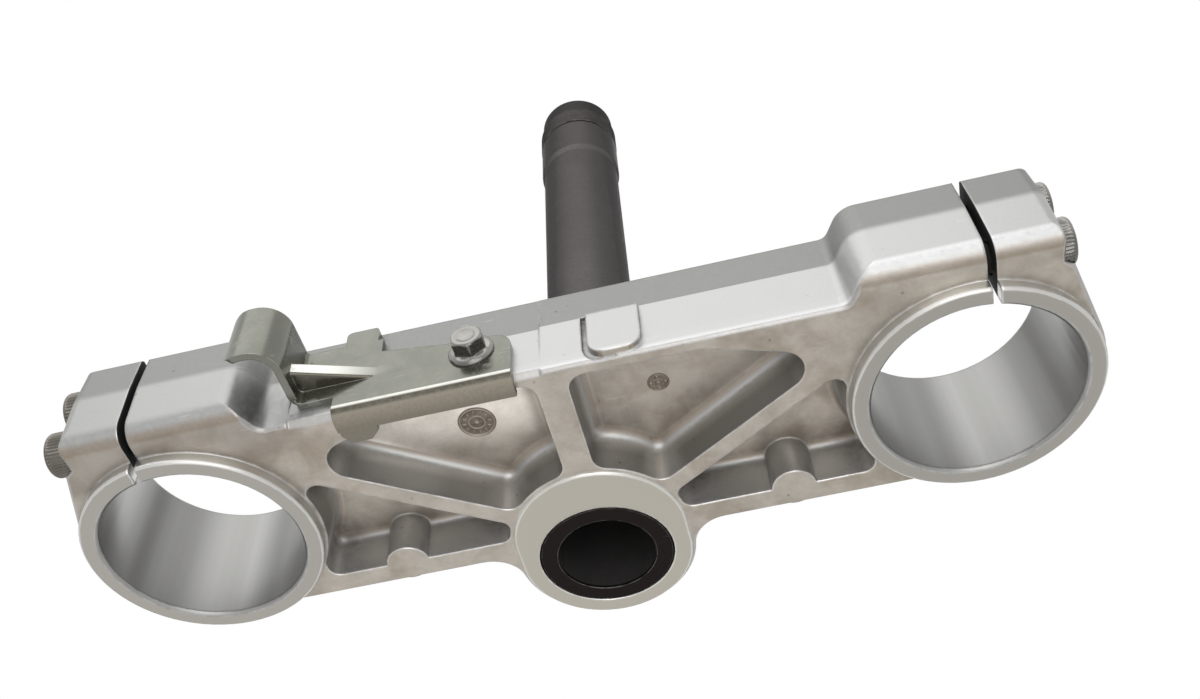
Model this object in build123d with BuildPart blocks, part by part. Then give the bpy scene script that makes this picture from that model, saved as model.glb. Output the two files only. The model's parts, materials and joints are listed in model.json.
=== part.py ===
from build123d import *

import os
from math import acos, atan2, cos, degrees, radians, sin, tan

# Lower triple clamp of a motorcycle fork, in millimetres.
# +Z runs up the steering axis and -Y points to the front of the motorcycle.
# The origin is on the steering axis, at the lower end of the steering stem.

# Fork clamps
FORK_SPACING = 207.2        # between the two fork tube axes
FORK_OFFSET = 35.7          # fork axes ahead of the steering axis
BORE_DIA = 54.0             # lower fork tube diameter
BORE_CHAMFER = 0.8
CLAMP_WALL = 6.9            # ring wall at the parting line
COLLAR_WALL = 5.0           # machined ring faces, narrower than the casting
COLLAR_BELOW = 3.8          # machined ring face below the cast underside
COLLAR_ABOVE = 5.5          # machined ring face above the cast top
COLLAR_CHAMFER = 0.6
SLOT_WIDTH = 2.0
SLOT_OUTBOARD = 5.2         # slot beside the fork axis, on the outer side

# Levels of the casting
UNDERSIDE_Z = 0.8           # the stem boss stands this far below the cast underside
CAST_HEIGHT = 30.2
PARTING_HEIGHT = 17.2       # the two die halves meet here
POCKET_DEPTH = 13.2
WEB = 7.0                   # between the pockets and the recess on top
BOSS_ABOVE = 2.0            # stem boss above the cast top
LOWER_DRAFT = 3.0           # outer walls below the parting line, in degrees
UPPER_DRAFT = 2.0
POCKET_DRAFT = 2.5
CAST_EDGE = 0.8             # bevel round the cast top and the cast underside

# Outline of the casting at the parting line
BEAM_AHEAD = 6.3            # front of the beam, ahead of the fork bores
BEAM_WALL = 4.2             # wall between the beam's front and the front pockets
BEAM_TOP = 8.0              # rail along the top of the beam
REAR_Y = -4.1
REAR_WALL = 7.7
STEM_BOSS_R = 25.9
STEM_BOSS_REACH = 7.8       # the boss is drawn out towards the beam
REAR_BLEND_R = 9.0          # concave blends of the rear wall
CLAMP_BLEND_R = 5.0
BEAM_BLEND_R = 2.5          # concave blends from the beam to the pinch bosses

# Ribs and pockets on the underside
CENTRE_RIB = 8.0
DIAGONAL_RIB = 4.9
RIB_START = (25.7, -26.0)        # front edge of the right diagonal rib, beside the boss
RIB_END = (-43.2, -12.1)         # the same edge near the clamp, from the fork axis
POCKET_SLANT = -65.6             # the front edge turns back here, from the fork axis
POCKET_SLANT_ANGLE = 17.2
FRONT_POCKET_R = 4.5
FRONT_TIP_R = 6.5
FRONT_FLOOR_R = 3.6
REAR_POCKET_R = 3.3
REAR_FLOOR_R = 2.5
CLAMP_POCKET_WALL = 5.6          # between the rear pocket and the fork bore
FOOT_INSET = 1.0                 # machined foot of the boss, inside its cast edge
FOOT_EDGE = 0.5
POST_DIA = 12.0                  # round core posts in front of the rear wall
POST_INBOARD = 49.2              # from the fork axis
POST_Y = -11.4
RECESS_R = 5.0
RECESS_RIB = 12.0                # rib from the boss to the beam, on top

# Pinch bolts, cap screws with their heads on the outer sides
BOLT_DIA = 8.0
BOLT_LENGTH = 30.0
BOLT_HEAD_DIA = 12.0
BOLT_HEAD_HEIGHT = 8.0
BOLT_HEAD_EDGE = 0.8
BOLT_SOCKET = 6.0           # across the flats
BOLT_SOCKET_DEPTH = 4.0
BOLT_TIP = 0.8
BOLT_HOLE_CLEARANCE = 0.5   # all round, in the outer half of the clamp
BOLT_TO_BORE = 1.3          # metal left between the clearance hole and the fork bore
SPOTFACE_CLEARANCE = 0.4    # all round the bolt head
SPOTFACE_DEPTHS = (3.0, 5.6)     # left and right, below the outer end of the boss
SPOTFACE_BEYOND = 7.0       # the cutter runs this far outside the boss
SPOTFACE_LAND = 0.6         # metal left above and below the spot faces
HOLE_BEYOND_BOLT = 3.0      # drilled past the end of the screw

# Pinch bosses, one across the front of each clamp
PINCH_FRONT_WALL = 2.4      # metal in front of the spot faces
PINCH_OUTER = 23.4          # outer end, from the fork axis
PINCH_INNER = 24.8          # front inner corner, from the fork axis
PINCH_INNER_SLOPE = 62.0    # inner end wall, in degrees from the beam
PINCH_CORNER_R = 3.0
PINCH_INNER_R = 7.0         # front inner corner
PINCH_UNDER_R = 5.5         # large round along the lower front edge
FLANK_STEP = (2.2, 2.0)     # the flank starts outside and behind the spot faces

# Steering stem
STEM_BASE_DIA = 38.0        # pressed into the boss
STEM_LOWER_SEAT_DIA = 35.0
STEM_LOWER_SEAT = 15.0
STEM_SHOULDER = 2.5
STEM_SHAFT_DIA = 30.4
STEM_UPPER_SEAT_DIA = 32.0
STEM_UPPER_SEAT = 20.0
STEM_THREAD_DIA = 31.8
STEM_THREAD = 11.0
STEM_RELIEF = 0.6           # undercut below the thread
STEM_TIP_DIA = 30.4
STEM_TIP = 11.0
STEM_LENGTH = 252.0
STEM_BORE_DIA = 21.0
STEM_COUNTERBORE_DIA = 27.8
STEM_COUNTERBORE = 40.0
STEM_CHAMFER = 1.2

# Hose guide bracket, folded from sheet
SHEET = 2.0
PAD_CUT = 0.7               # flat milled into the front of the beam for the bracket
PAD_RIGHT = 17.3            # right end of the flat, from the bracket's bolt
PAD_BEYOND = 1.0            # the flat runs past the guide's fold
FOLD_CLEARANCE = 0.1        # the flat's lower edge clears the fold under the beam
BRACKET_BOLT_X = -18.8
BRACKET_BOLT_HEIGHT = 11.3  # above the cast underside
PLATE_RIGHT = 10.3          # from the bolt
PLATE_STEP = 36.2           # beyond this the plate has no lip
PLATE_SLOPE = (3.2, 24.7)   # the top edge rises between these
PLATE_TOP = (4.9, 8.4, 13.7)     # heights above the bolt
PLATE_STEP_DROP = 6.6
PLATE_CORNER_R = 5.0
FOLD_R = 1.5                # inner radius of the folds
LIP_REACH = 4.5             # lip under the beam
TAB = (26.0, 35.7)          # longer tab on the lip, from the bolt
TAB_REACH = 8.4
TAB_CORNER = 2.5
LUG = (26.2, 35.2)          # lug that stands up in front of the beam
LUG_TOP = 19.4
LUG_CORNER_R = 1.5
GUIDE_LEFT = 45.7           # face of the guide's leg, from the bolt
GUIDE_REACH = 17.7          # ahead of the plate
GUIDE_WIDTH = 12.3
GUIDE_END = 11.5            # the end that turns back
GUIDE_END_ANGLE = 54.0
GUIDE_R = 7.5               # outer radius of the two wide bends
GUIDE_HEIGHTS = (-5.1, 14.1)     # from the bolt
GUIDE_CORNER_R = 5.0
DART = (20.5, 6.7)          # stiffening dart, along the plate and along the leg
DART_HEIGHT = 4.4
DART_RISE = 0.4             # centre of the dart above the bolt
DART_WALL = 1.2
DART_EDGE_R = 1.0
BRACKET_BOLT_DIA = 6.0
BRACKET_BOLT_LENGTH = 8.0
BRACKET_HOLE_CLEARANCE = 0.3
FLANGE_DIA = 12.0
FLANGE = 1.4
BRACKET_HEX = 8.0
BRACKET_HEAD = 4.2
TAPPED_BOSS_DIA = 12.0
TAPPED_HOLE_BEYOND = 1.0
TAPPED_BOSS_WALL = 1.5      # behind the end of the screw hole

# Raised pad on the right of the beam
RAISED_PAD_X = (11.0, 24.5)
RAISED_PAD_RISE = 1.0
RAISED_PAD_FOOT = 1.0       # its lower edge above the cast underside
RAISED_PAD_R = 4.5
GROOVE_WIDTH = 1.6
GROOVE_DEPTH = 1.3

FORK_X = FORK_SPACING / 2
BORE_R = BORE_DIA / 2
CLAMP_R = BORE_R + CLAMP_WALL
COLLAR_R = BORE_R + COLLAR_WALL
PARTING_Z = UNDERSIDE_Z + PARTING_HEIGHT
CAST_TOP_Z = UNDERSIDE_Z + CAST_HEIGHT
FLOOR_Z = UNDERSIDE_Z + POCKET_DEPTH
WEB_TOP_Z = FLOOR_Z + WEB
RING_BOTTOM_Z = UNDERSIDE_Z - COLLAR_BELOW
RING_TOP_Z = CAST_TOP_Z + COLLAR_ABOVE
BOSS_TOP_Z = CAST_TOP_Z + BOSS_ABOVE
LOWER_SHIFT = PARTING_HEIGHT * tan(radians(LOWER_DRAFT))
BEAM_FRONT_Y = -(FORK_OFFSET + BORE_R + BEAM_AHEAD)
BOSS_FOOT_R = STEM_BOSS_R - LOWER_SHIFT
FOLD_RELIEF = FOLD_R + FOLD_CLEARANCE
SLOT_X = FORK_X + SLOT_OUTBOARD
SPOTFACE_R = BOLT_HEAD_DIA / 2 + SPOTFACE_CLEARANCE
BOLT_HOLE_R = BOLT_DIA / 2 + BOLT_HOLE_CLEARANCE
BOLT_Y = -(FORK_OFFSET + BORE_R + BOLT_TO_BORE + BOLT_HOLE_R)
BOLT_INSET = SPOTFACE_LAND + SPOTFACE_R
BOLT_Z = (UNDERSIDE_Z + BOLT_INSET, CAST_TOP_Z - BOLT_INSET)
PINCH_FRONT_Y = BOLT_Y - SPOTFACE_R - PINCH_FRONT_WALL
PINCH_OUTER_X = FORK_X + PINCH_OUTER
PINCH_INNER_X = FORK_X - PINCH_INNER
PAD_Y = BEAM_FRONT_Y + PAD_CUT
PLATE_Y = PAD_Y - SHEET
BRACKET_BOLT_Z = UNDERSIDE_Z + BRACKET_BOLT_HEIGHT
PAD_LEFT_X = BRACKET_BOLT_X - GUIDE_LEFT - SHEET - PAD_BEYOND
PAD_RIGHT_X = BRACKET_BOLT_X + PAD_RIGHT
SEATS = [(-1, PINCH_OUTER_X - SPOTFACE_DEPTHS[0]), (1, PINCH_OUTER_X - SPOTFACE_DEPTHS[1])]
CUT_BEYOND = 1.0            # cutters start this far outside the surface
NEAR = 0.01                 # values this close are the same


def meeting(point, angle, other, other_angle):
    """Point where two lines cross, each given by a point and its angle in degrees."""
    a, b = radians(angle), radians(other_angle)
    dx, dy = other[0] - point[0], other[1] - point[1]
    run = (dx * sin(b) - dy * cos(b)) / sin(b - a)
    return (point[0] + run * cos(a), point[1] + run * sin(a))


def boss_foot(radius, mode):
    """Outline of the stem boss, drawn out towards the beam."""
    Circle(radius, mode=mode)
    with Locations((0, -STEM_BOSS_REACH / 2)):
        Rectangle(2 * radius, STEM_BOSS_REACH, mode=mode)
    with Locations((0, -STEM_BOSS_REACH)):
        Circle(radius, mode=mode)


# Edges of the right diagonal rib at the cast underside
rib_end = (FORK_X + RIB_END[0], -FORK_OFFSET + RIB_END[1])
rib_angle = degrees(atan2(rib_end[1] - RIB_START[1], rib_end[0] - RIB_START[0]))
rib_back = (RIB_START[0] - DIAGONAL_RIB * sin(radians(rib_angle)),
            RIB_START[1] + DIAGONAL_RIB * cos(radians(rib_angle)))

# Front pocket, between the beam, the central rib, the boss and the diagonal rib
pocket_front_y = BEAM_FRONT_Y + BEAM_WALL
slant_x = FORK_X + POCKET_SLANT
rib_side = CENTRE_RIB / 2
tip = meeting((slant_x, pocket_front_y), POCKET_SLANT_ANGLE, RIB_START, rib_angle)
with BuildPart() as front_pocket:
    with BuildSketch(Plane.XY.offset(UNDERSIDE_Z)) as mouth:
        with BuildLine():
            Polyline(
                (rib_side, pocket_front_y), (slant_x, pocket_front_y), tip,
                meeting(RIB_START, rib_angle, (rib_side, 0), 90), close=True,
            )
        make_face()
        boss_foot(BOSS_FOOT_R, Mode.SUBTRACT)
        fillet(mouth.vertices().sort_by(Axis.X)[-1], FRONT_TIP_R)
        fillet(mouth.vertices().filter_by(lambda v: v.X < slant_x + NEAR), FRONT_POCKET_R)
        make_face(mouth.edges(), mode=Mode.REPLACE)
    extrude(amount=POCKET_DEPTH, taper=POCKET_DRAFT)
    fillet(front_pocket.faces().sort_by(Axis.Z)[-1].edges(), FRONT_FLOOR_R)

# Rear pocket, between the diagonal rib, the boss, the rear wall and the clamp
pocket_rear_y = REAR_Y - REAR_WALL
with BuildPart() as rear_pocket:
    with BuildSketch(Plane.XY.offset(UNDERSIDE_Z)) as mouth:
        with BuildLine():
            Polyline(
                meeting(rib_back, rib_angle, (0, pocket_rear_y), 0), (FORK_X, pocket_rear_y),
                meeting(rib_back, rib_angle, (FORK_X, 0), 90), close=True,
            )
        make_face()
        boss_foot(BOSS_FOOT_R, Mode.SUBTRACT)
        with Locations((FORK_X, -FORK_OFFSET)):
            Circle(BORE_R + CLAMP_POCKET_WALL, mode=Mode.SUBTRACT)
        with Locations((FORK_X, 0)):
            Rectangle(BORE_DIA, 4 * FORK_OFFSET, mode=Mode.SUBTRACT)
        fillet(mouth.vertices(), REAR_POCKET_R)
        make_face(mouth.edges(), mode=Mode.REPLACE)
    extrude(amount=POCKET_DEPTH, taper=POCKET_DRAFT)
    fillet(rear_pocket.faces().sort_by(Axis.Z)[-1].edges(), REAR_FLOOR_R)

# Recess on top of the web, open to the rear
with BuildPart() as top_recess:
    with BuildSketch(Plane.XY.offset(CAST_TOP_Z)) as mouth:
        with BuildLine():
            Polyline(
                (RECESS_RIB / 2, BEAM_FRONT_Y + BEAM_TOP), (FORK_X, BEAM_FRONT_Y + BEAM_TOP),
                (FORK_X, STEM_BOSS_R / 2), (RECESS_RIB / 2, STEM_BOSS_R / 2), close=True,
            )
        make_face()
        Circle(STEM_BOSS_R, mode=Mode.SUBTRACT)
        with Locations((0, STEM_BOSS_R / 2)):
            Rectangle(2 * STEM_BOSS_R, STEM_BOSS_R, mode=Mode.SUBTRACT)
        with Locations((FORK_X, -FORK_OFFSET)):
            Circle(CLAMP_R, mode=Mode.SUBTRACT)
        with Locations((FORK_X, 0)):
            Rectangle(2 * CLAMP_R, 2 * FORK_OFFSET, mode=Mode.SUBTRACT)
        fillet(mouth.vertices().group_by(Axis.X)[0].sort_by(Axis.Y)[-1], RECESS_R)
        fillet(mouth.vertices().group_by(Axis.Y)[0], RECESS_R)
        make_face(mouth.edges(), mode=Mode.REPLACE)
    extrude(amount=WEB_TOP_Z - CAST_TOP_Z, taper=UPPER_DRAFT)

# Machined foot of the stem boss
with BuildPart() as boss_pad:
    with BuildSketch(Plane.XY.offset(FOOT_EDGE)) as foot:
        boss_foot(BOSS_FOOT_R - FOOT_INSET, Mode.ADD)
        make_face(foot.edges(), mode=Mode.REPLACE)
    extrude(amount=FLOOR_Z / 2)
    extrude(foot.sketch, amount=-FOOT_EDGE, taper=45)

# Ends of the round along the lower front edge, and the tapped boss
round_run = PINCH_UNDER_R / tan(radians((90 + LOWER_DRAFT) / 2))
round_corner_y = PINCH_FRONT_Y + LOWER_SHIFT
round_front = (round_corner_y - round_run * sin(radians(LOWER_DRAFT)),
               UNDERSIDE_Z + round_run * cos(radians(LOWER_DRAFT)))
round_rear = (round_corner_y + round_run, UNDERSIDE_Z)
tapped_boss_end = PAD_Y - SHEET + BRACKET_BOLT_LENGTH + TAPPED_HOLE_BEYOND + TAPPED_BOSS_WALL
tapped_boss_reach = tapped_boss_end - BEAM_FRONT_Y - BEAM_WALL / 2
pad_left, pad_right = RAISED_PAD_X
pad_middle = (pad_left + pad_right) / 2
pad_foot = UNDERSIDE_Z + RAISED_PAD_FOOT

# Right half of the outline: rear wall, clamp flank, pinch boss and beam
inner_run = (BEAM_FRONT_Y - PINCH_FRONT_Y) / tan(radians(PINCH_INNER_SLOPE))
flank_end = (PINCH_OUTER_X + FLANK_STEP[0], BOLT_Y + FLANK_STEP[1])
flank_dx, flank_dy = flank_end[0] - FORK_X, flank_end[1] + FORK_OFFSET
flank_angle = atan2(flank_dy, flank_dx) + acos(CLAMP_R / (flank_dx**2 + flank_dy**2) ** 0.5)
flank_start = (FORK_X + CLAMP_R * cos(flank_angle), -FORK_OFFSET + CLAMP_R * sin(flank_angle))

with BuildPart() as lower_yoke:
    with BuildSketch(Plane.XY.offset(PARTING_Z)) as outline:
        with BuildLine():
            Polyline(
                (0, REAR_Y), (FORK_X, REAR_Y), (FORK_X, -FORK_OFFSET), flank_start, flank_end,
                (PINCH_OUTER_X, BOLT_Y), (PINCH_OUTER_X, PINCH_FRONT_Y),
                (PINCH_INNER_X, PINCH_FRONT_Y), (PINCH_INNER_X - inner_run, BEAM_FRONT_Y),
                (0, BEAM_FRONT_Y), close=True,
            )
        make_face()
        mirror(about=Plane.YZ)
        with Locations((-FORK_X, -FORK_OFFSET), (FORK_X, -FORK_OFFSET)):
            Circle(CLAMP_R)
        Circle(STEM_BOSS_R)
        front = outline.vertices().filter_by(lambda v: v.Y < PINCH_FRONT_Y + NEAR)
        fillet(front.filter_by(lambda v: abs(v.X) > FORK_X), PINCH_CORNER_R)
        front = outline.vertices().filter_by(lambda v: v.Y < PINCH_FRONT_Y + NEAR)
        fillet(front.filter_by(lambda v: abs(v.X) < FORK_X), PINCH_INNER_R)
        fillet(outline.vertices().filter_by(lambda v: abs(v.Y - BEAM_FRONT_Y) < NEAR), BEAM_BLEND_R)
        rear = outline.vertices().filter_by(lambda v: abs(v.Y - REAR_Y) < NEAR)
        fillet(rear.filter_by(lambda v: abs(v.X) < STEM_BOSS_R), REAR_BLEND_R)
        rear = outline.vertices().filter_by(lambda v: abs(v.Y - REAR_Y) < NEAR)
        fillet(rear.filter_by(lambda v: abs(v.X) > FORK_X - CLAMP_R), CLAMP_BLEND_R)
        make_face(outline.edges(), mode=Mode.REPLACE)
    extrude(amount=CAST_EDGE - PARTING_HEIGHT, taper=LOWER_DRAFT)
    extrude(lower_yoke.faces().sort_by(Axis.Z)[0], amount=CAST_EDGE, taper=45)
    extrude(outline.sketch, amount=CAST_TOP_Z - CAST_EDGE - PARTING_Z, taper=UPPER_DRAFT)
    extrude(lower_yoke.faces().sort_by(Axis.Z)[-1], amount=CAST_EDGE, taper=45)
    # machined rings round the fork bores
    with BuildSketch(Plane.XY.offset(RING_BOTTOM_Z)):
        with Locations((-FORK_X, -FORK_OFFSET), (FORK_X, -FORK_OFFSET)):
            Circle(COLLAR_R)
    extrude(amount=RING_TOP_Z - RING_BOTTOM_Z)
    ring_rims = lower_yoke.edges().filter_by(
        lambda e: e.center().Z < RING_BOTTOM_Z + NEAR or e.center().Z > RING_TOP_Z - NEAR
    )
    chamfer(ring_rims, COLLAR_CHAMFER)
    # hollows of the two die halves, with the stem boss left standing between them
    for hollow in (front_pocket.part, rear_pocket.part, top_recess.part):
        add(hollow, mode=Mode.SUBTRACT)
        mirror(hollow, about=Plane.YZ, mode=Mode.SUBTRACT)
    add(boss_pad.part)
    with BuildSketch(Plane.XY.offset(WEB_TOP_Z)):
        Circle(BOSS_FOOT_R - FOOT_INSET)
    extrude(amount=BOSS_TOP_Z - CAST_EDGE - WEB_TOP_Z)
    with BuildSketch(Plane.XY.offset(BOSS_TOP_Z - CAST_EDGE)):
        Circle(BOSS_FOOT_R - FOOT_INSET)
    extrude(amount=CAST_EDGE, taper=45)
    # core posts, and the boss behind the bracket's screw hole
    with BuildSketch(Plane.XY.offset(UNDERSIDE_Z)):
        with Locations((POST_INBOARD - FORK_X, POST_Y), (FORK_X - POST_INBOARD, POST_Y)):
            Circle(POST_DIA / 2)
    extrude(amount=POCKET_DEPTH + WEB / 2)
    with BuildSketch(Plane.XZ.offset(-BEAM_FRONT_Y - BEAM_WALL / 2)):
        with Locations((BRACKET_BOLT_X, BRACKET_BOLT_Z)):
            Circle(TAPPED_BOSS_DIA / 2)
            Rectangle(TAPPED_BOSS_DIA, WEB_TOP_Z - BRACKET_BOLT_Z, align=(Align.CENTER, Align.MIN))
    extrude(amount=-tapped_boss_reach)
    # large round along the lower front edge of the pinch bosses
    with BuildSketch(Plane.YZ):
        with BuildLine():
            RadiusArc(round_front, round_rear, -PINCH_UNDER_R)
            Polyline(round_rear, (round_rear[0], RING_BOTTOM_Z),
                     (round_front[0] - CUT_BEYOND, RING_BOTTOM_Z),
                     (round_front[0] - CUT_BEYOND, round_front[1]), round_front)
        make_face()
    extrude(amount=FORK_SPACING, both=True, mode=Mode.SUBTRACT)
    # flat for the bracket, and the raised pad with its groove
    with BuildSketch(Plane.XY.offset(UNDERSIDE_Z)):
        with Locations((PAD_LEFT_X, PAD_Y)):
            Rectangle(PAD_RIGHT_X - PAD_LEFT_X, PAD_CUT + CUT_BEYOND, align=(Align.MIN, Align.MAX))
    extrude(amount=CAST_HEIGHT, mode=Mode.SUBTRACT)
    with BuildSketch(Plane.YZ.offset(PAD_LEFT_X)):
        with BuildLine():
            Polyline(
                (PAD_Y - CUT_BEYOND, UNDERSIDE_Z + FOLD_RELIEF + CUT_BEYOND),
                (PAD_Y - CUT_BEYOND, UNDERSIDE_Z - CUT_BEYOND),
                (PAD_Y + FOLD_RELIEF + CUT_BEYOND, UNDERSIDE_Z - CUT_BEYOND), close=True,
            )
        make_face()
    extrude(amount=PAD_RIGHT_X - PAD_LEFT_X, mode=Mode.SUBTRACT)
    with BuildSketch(Plane.XZ.offset(-BEAM_FRONT_Y + CUT_BEYOND)) as groove:
        with BuildLine():
            FilletPolyline(
                (pad_left - GROOVE_WIDTH, PARTING_Z), (pad_left - GROOVE_WIDTH, pad_foot - GROOVE_WIDTH),
                (pad_middle, pad_foot - GROOVE_WIDTH), radius=RAISED_PAD_R + GROOVE_WIDTH,
            )
            Line((pad_middle, pad_foot - GROOVE_WIDTH), (pad_middle, PARTING_Z))
            Line((pad_middle, PARTING_Z), (pad_left - GROOVE_WIDTH, PARTING_Z))
        make_face()
    extrude(amount=-GROOVE_DEPTH - CUT_BEYOND, mode=Mode.SUBTRACT)
    with BuildSketch(Plane.XZ.offset(-BEAM_FRONT_Y + RAISED_PAD_RISE)):
        with BuildLine():
            FilletPolyline(
                (pad_left, PARTING_Z), (pad_left, pad_foot), (pad_right, pad_foot), (pad_right, PARTING_Z),
                radius=RAISED_PAD_R,
            )
            Line((pad_right, PARTING_Z), (pad_left, PARTING_Z))
        make_face()
    extrude(amount=-RAISED_PAD_RISE - BEAM_WALL / 2)
    # fork bores, slots and stem bore
    with BuildSketch(Plane.XY.offset(RING_BOTTOM_Z)):
        with Locations((-FORK_X, -FORK_OFFSET), (FORK_X, -FORK_OFFSET)):
            Circle(BORE_R)
        Circle(STEM_BASE_DIA / 2)
    extrude(amount=RING_TOP_Z - RING_BOTTOM_Z, mode=Mode.SUBTRACT)
    bore_rims = lower_yoke.edges().filter_by(GeomType.CIRCLE).filter_by(
        lambda e: abs(e.radius - BORE_R) < NEAR and abs(e.center().Z - PARTING_Z) > CAST_HEIGHT / 3
    )
    chamfer(bore_rims, BORE_CHAMFER)
    with BuildSketch(Plane.XY.offset(RING_BOTTOM_Z)):
        with Locations((-SLOT_X, -FORK_OFFSET), (SLOT_X, -FORK_OFFSET)):
            Rectangle(SLOT_WIDTH, -PINCH_FRONT_Y, align=(Align.CENTER, Align.MAX))
    extrude(amount=RING_TOP_Z - RING_BOTTOM_Z, mode=Mode.SUBTRACT)
    # spot faces and screw holes of the pinch bolts
    for side, seat_x in SEATS:
        for z in BOLT_Z:
            seat = Plane(origin=(side * seat_x, BOLT_Y, z), z_dir=(side, 0, 0))
            with BuildSketch(seat):
                Circle(SPOTFACE_R)
            extrude(amount=PINCH_OUTER_X + SPOTFACE_BEYOND - seat_x, mode=Mode.SUBTRACT)
            with BuildSketch(seat):
                Circle(BOLT_HOLE_R)
            extrude(amount=SLOT_X - seat_x, mode=Mode.SUBTRACT)
            with BuildSketch(seat):
                Circle(BOLT_DIA / 2)
            extrude(amount=-BOLT_LENGTH - HOLE_BEYOND_BOLT, mode=Mode.SUBTRACT)
    with BuildSketch(Plane.XZ.offset(-PAD_Y)):
        with Locations((BRACKET_BOLT_X, BRACKET_BOLT_Z)):
            Circle(BRACKET_BOLT_DIA / 2)
    extrude(amount=SHEET - BRACKET_BOLT_LENGTH - TAPPED_HOLE_BEYOND, mode=Mode.SUBTRACT)
lower_yoke.part.label = "lower_yoke"

# Stem: turned from one bar, all diameters on one profile
seat_top = BOSS_TOP_Z + STEM_LOWER_SEAT
thread_top = STEM_LENGTH - STEM_TIP
thread_foot = thread_top - STEM_THREAD
upper_foot = thread_foot - STEM_UPPER_SEAT
with BuildPart() as steering_stem:
    with BuildSketch(Plane.XZ):
        with BuildLine():
            Polyline(
                (STEM_BORE_DIA / 2, STEM_LENGTH),
                (STEM_TIP_DIA / 2 - STEM_CHAMFER, STEM_LENGTH),
                (STEM_TIP_DIA / 2, STEM_LENGTH - STEM_CHAMFER),
                (STEM_TIP_DIA / 2, thread_top),
                (STEM_THREAD_DIA / 2, thread_top),
                (STEM_THREAD_DIA / 2, thread_foot + 2 * STEM_RELIEF),
                (STEM_TIP_DIA / 2 - STEM_RELIEF, thread_foot + 2 * STEM_RELIEF),
                (STEM_TIP_DIA / 2 - STEM_RELIEF, thread_foot),
                (STEM_UPPER_SEAT_DIA / 2, thread_foot),
                (STEM_UPPER_SEAT_DIA / 2, upper_foot),
                (STEM_SHAFT_DIA / 2, upper_foot - STEM_SHOULDER),
                (STEM_SHAFT_DIA / 2, seat_top + STEM_SHOULDER),
                (STEM_LOWER_SEAT_DIA / 2, seat_top),
                (STEM_LOWER_SEAT_DIA / 2, BOSS_TOP_Z),
                (STEM_BASE_DIA / 2, BOSS_TOP_Z),
                (STEM_BASE_DIA / 2, STEM_CHAMFER / 2),
                (STEM_BASE_DIA / 2 - STEM_CHAMFER / 2, 0),
                (STEM_COUNTERBORE_DIA / 2, 0),
                (STEM_COUNTERBORE_DIA / 2, STEM_COUNTERBORE),
                (STEM_BORE_DIA / 2, STEM_COUNTERBORE + (STEM_COUNTERBORE_DIA - STEM_BORE_DIA) / 2),
                close=True,
            )
        make_face()
    revolve(axis=Axis.Z)
steering_stem.part.label = "steering_stem"

# Pinch bolts: head, shank with a bevelled tip, and hexagon socket
with BuildPart() as pinch_bolts:
    for side, seat_x in SEATS:
        for z in BOLT_Z:
            seat = Plane(origin=(side * seat_x, BOLT_Y, z), z_dir=(side, 0, 0))
            with BuildSketch(seat):
                Circle(BOLT_HEAD_DIA / 2)
            extrude(amount=BOLT_HEAD_HEIGHT - BOLT_HEAD_EDGE)
            with BuildSketch(seat.offset(BOLT_HEAD_HEIGHT - BOLT_HEAD_EDGE)):
                Circle(BOLT_HEAD_DIA / 2)
            extrude(amount=BOLT_HEAD_EDGE, taper=45)
            with BuildSketch(seat):
                Circle(BOLT_DIA / 2)
            extrude(amount=-BOLT_LENGTH + BOLT_TIP)
            with BuildSketch(seat.offset(-BOLT_LENGTH + BOLT_TIP)):
                Circle(BOLT_DIA / 2)
            extrude(amount=-BOLT_TIP, taper=45)
            with BuildSketch(seat.offset(BOLT_HEAD_HEIGHT)):
                RegularPolygon(BOLT_SOCKET / 2, 6, major_radius=False)
            extrude(amount=-BOLT_SOCKET_DEPTH, mode=Mode.SUBTRACT)
pinch_bolts.part.label = "pinch_bolts"

# Bracket: the plate and its hose guide are one bent strip, seen from above
bolt_x, bolt_z = BRACKET_BOLT_X, BRACKET_BOLT_Z
guide_x = bolt_x - GUIDE_LEFT
guide_front_y = PLATE_Y - GUIDE_REACH
guide_turn = (guide_x - GUIDE_WIDTH, guide_front_y)
guide_tip = (guide_turn[0] - GUIDE_END * cos(radians(GUIDE_END_ANGLE)),
             guide_turn[1] + GUIDE_END * sin(radians(GUIDE_END_ANGLE)))
fold_z = UNDERSIDE_Z + FOLD_R
guide_low = bolt_z + GUIDE_HEIGHTS[0]
guide_high = bolt_z + GUIDE_HEIGHTS[1]
step_z = bolt_z - PLATE_STEP_DROP
plate_top = [bolt_z + height for height in PLATE_TOP]
dart_z = bolt_z + DART_RISE
dart_start = (guide_x + DART[0], PLATE_Y)
dart_end = (guide_x, PLATE_Y - DART[1])
dart_length = (DART[0]**2 + DART[1]**2) ** 0.5
dart_angle = degrees(atan2(DART[1], DART[0]))
dart_back = (dart_start[0] - SHEET * DART[1] / dart_length, PLATE_Y + SHEET * DART[0] / dart_length)
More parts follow.
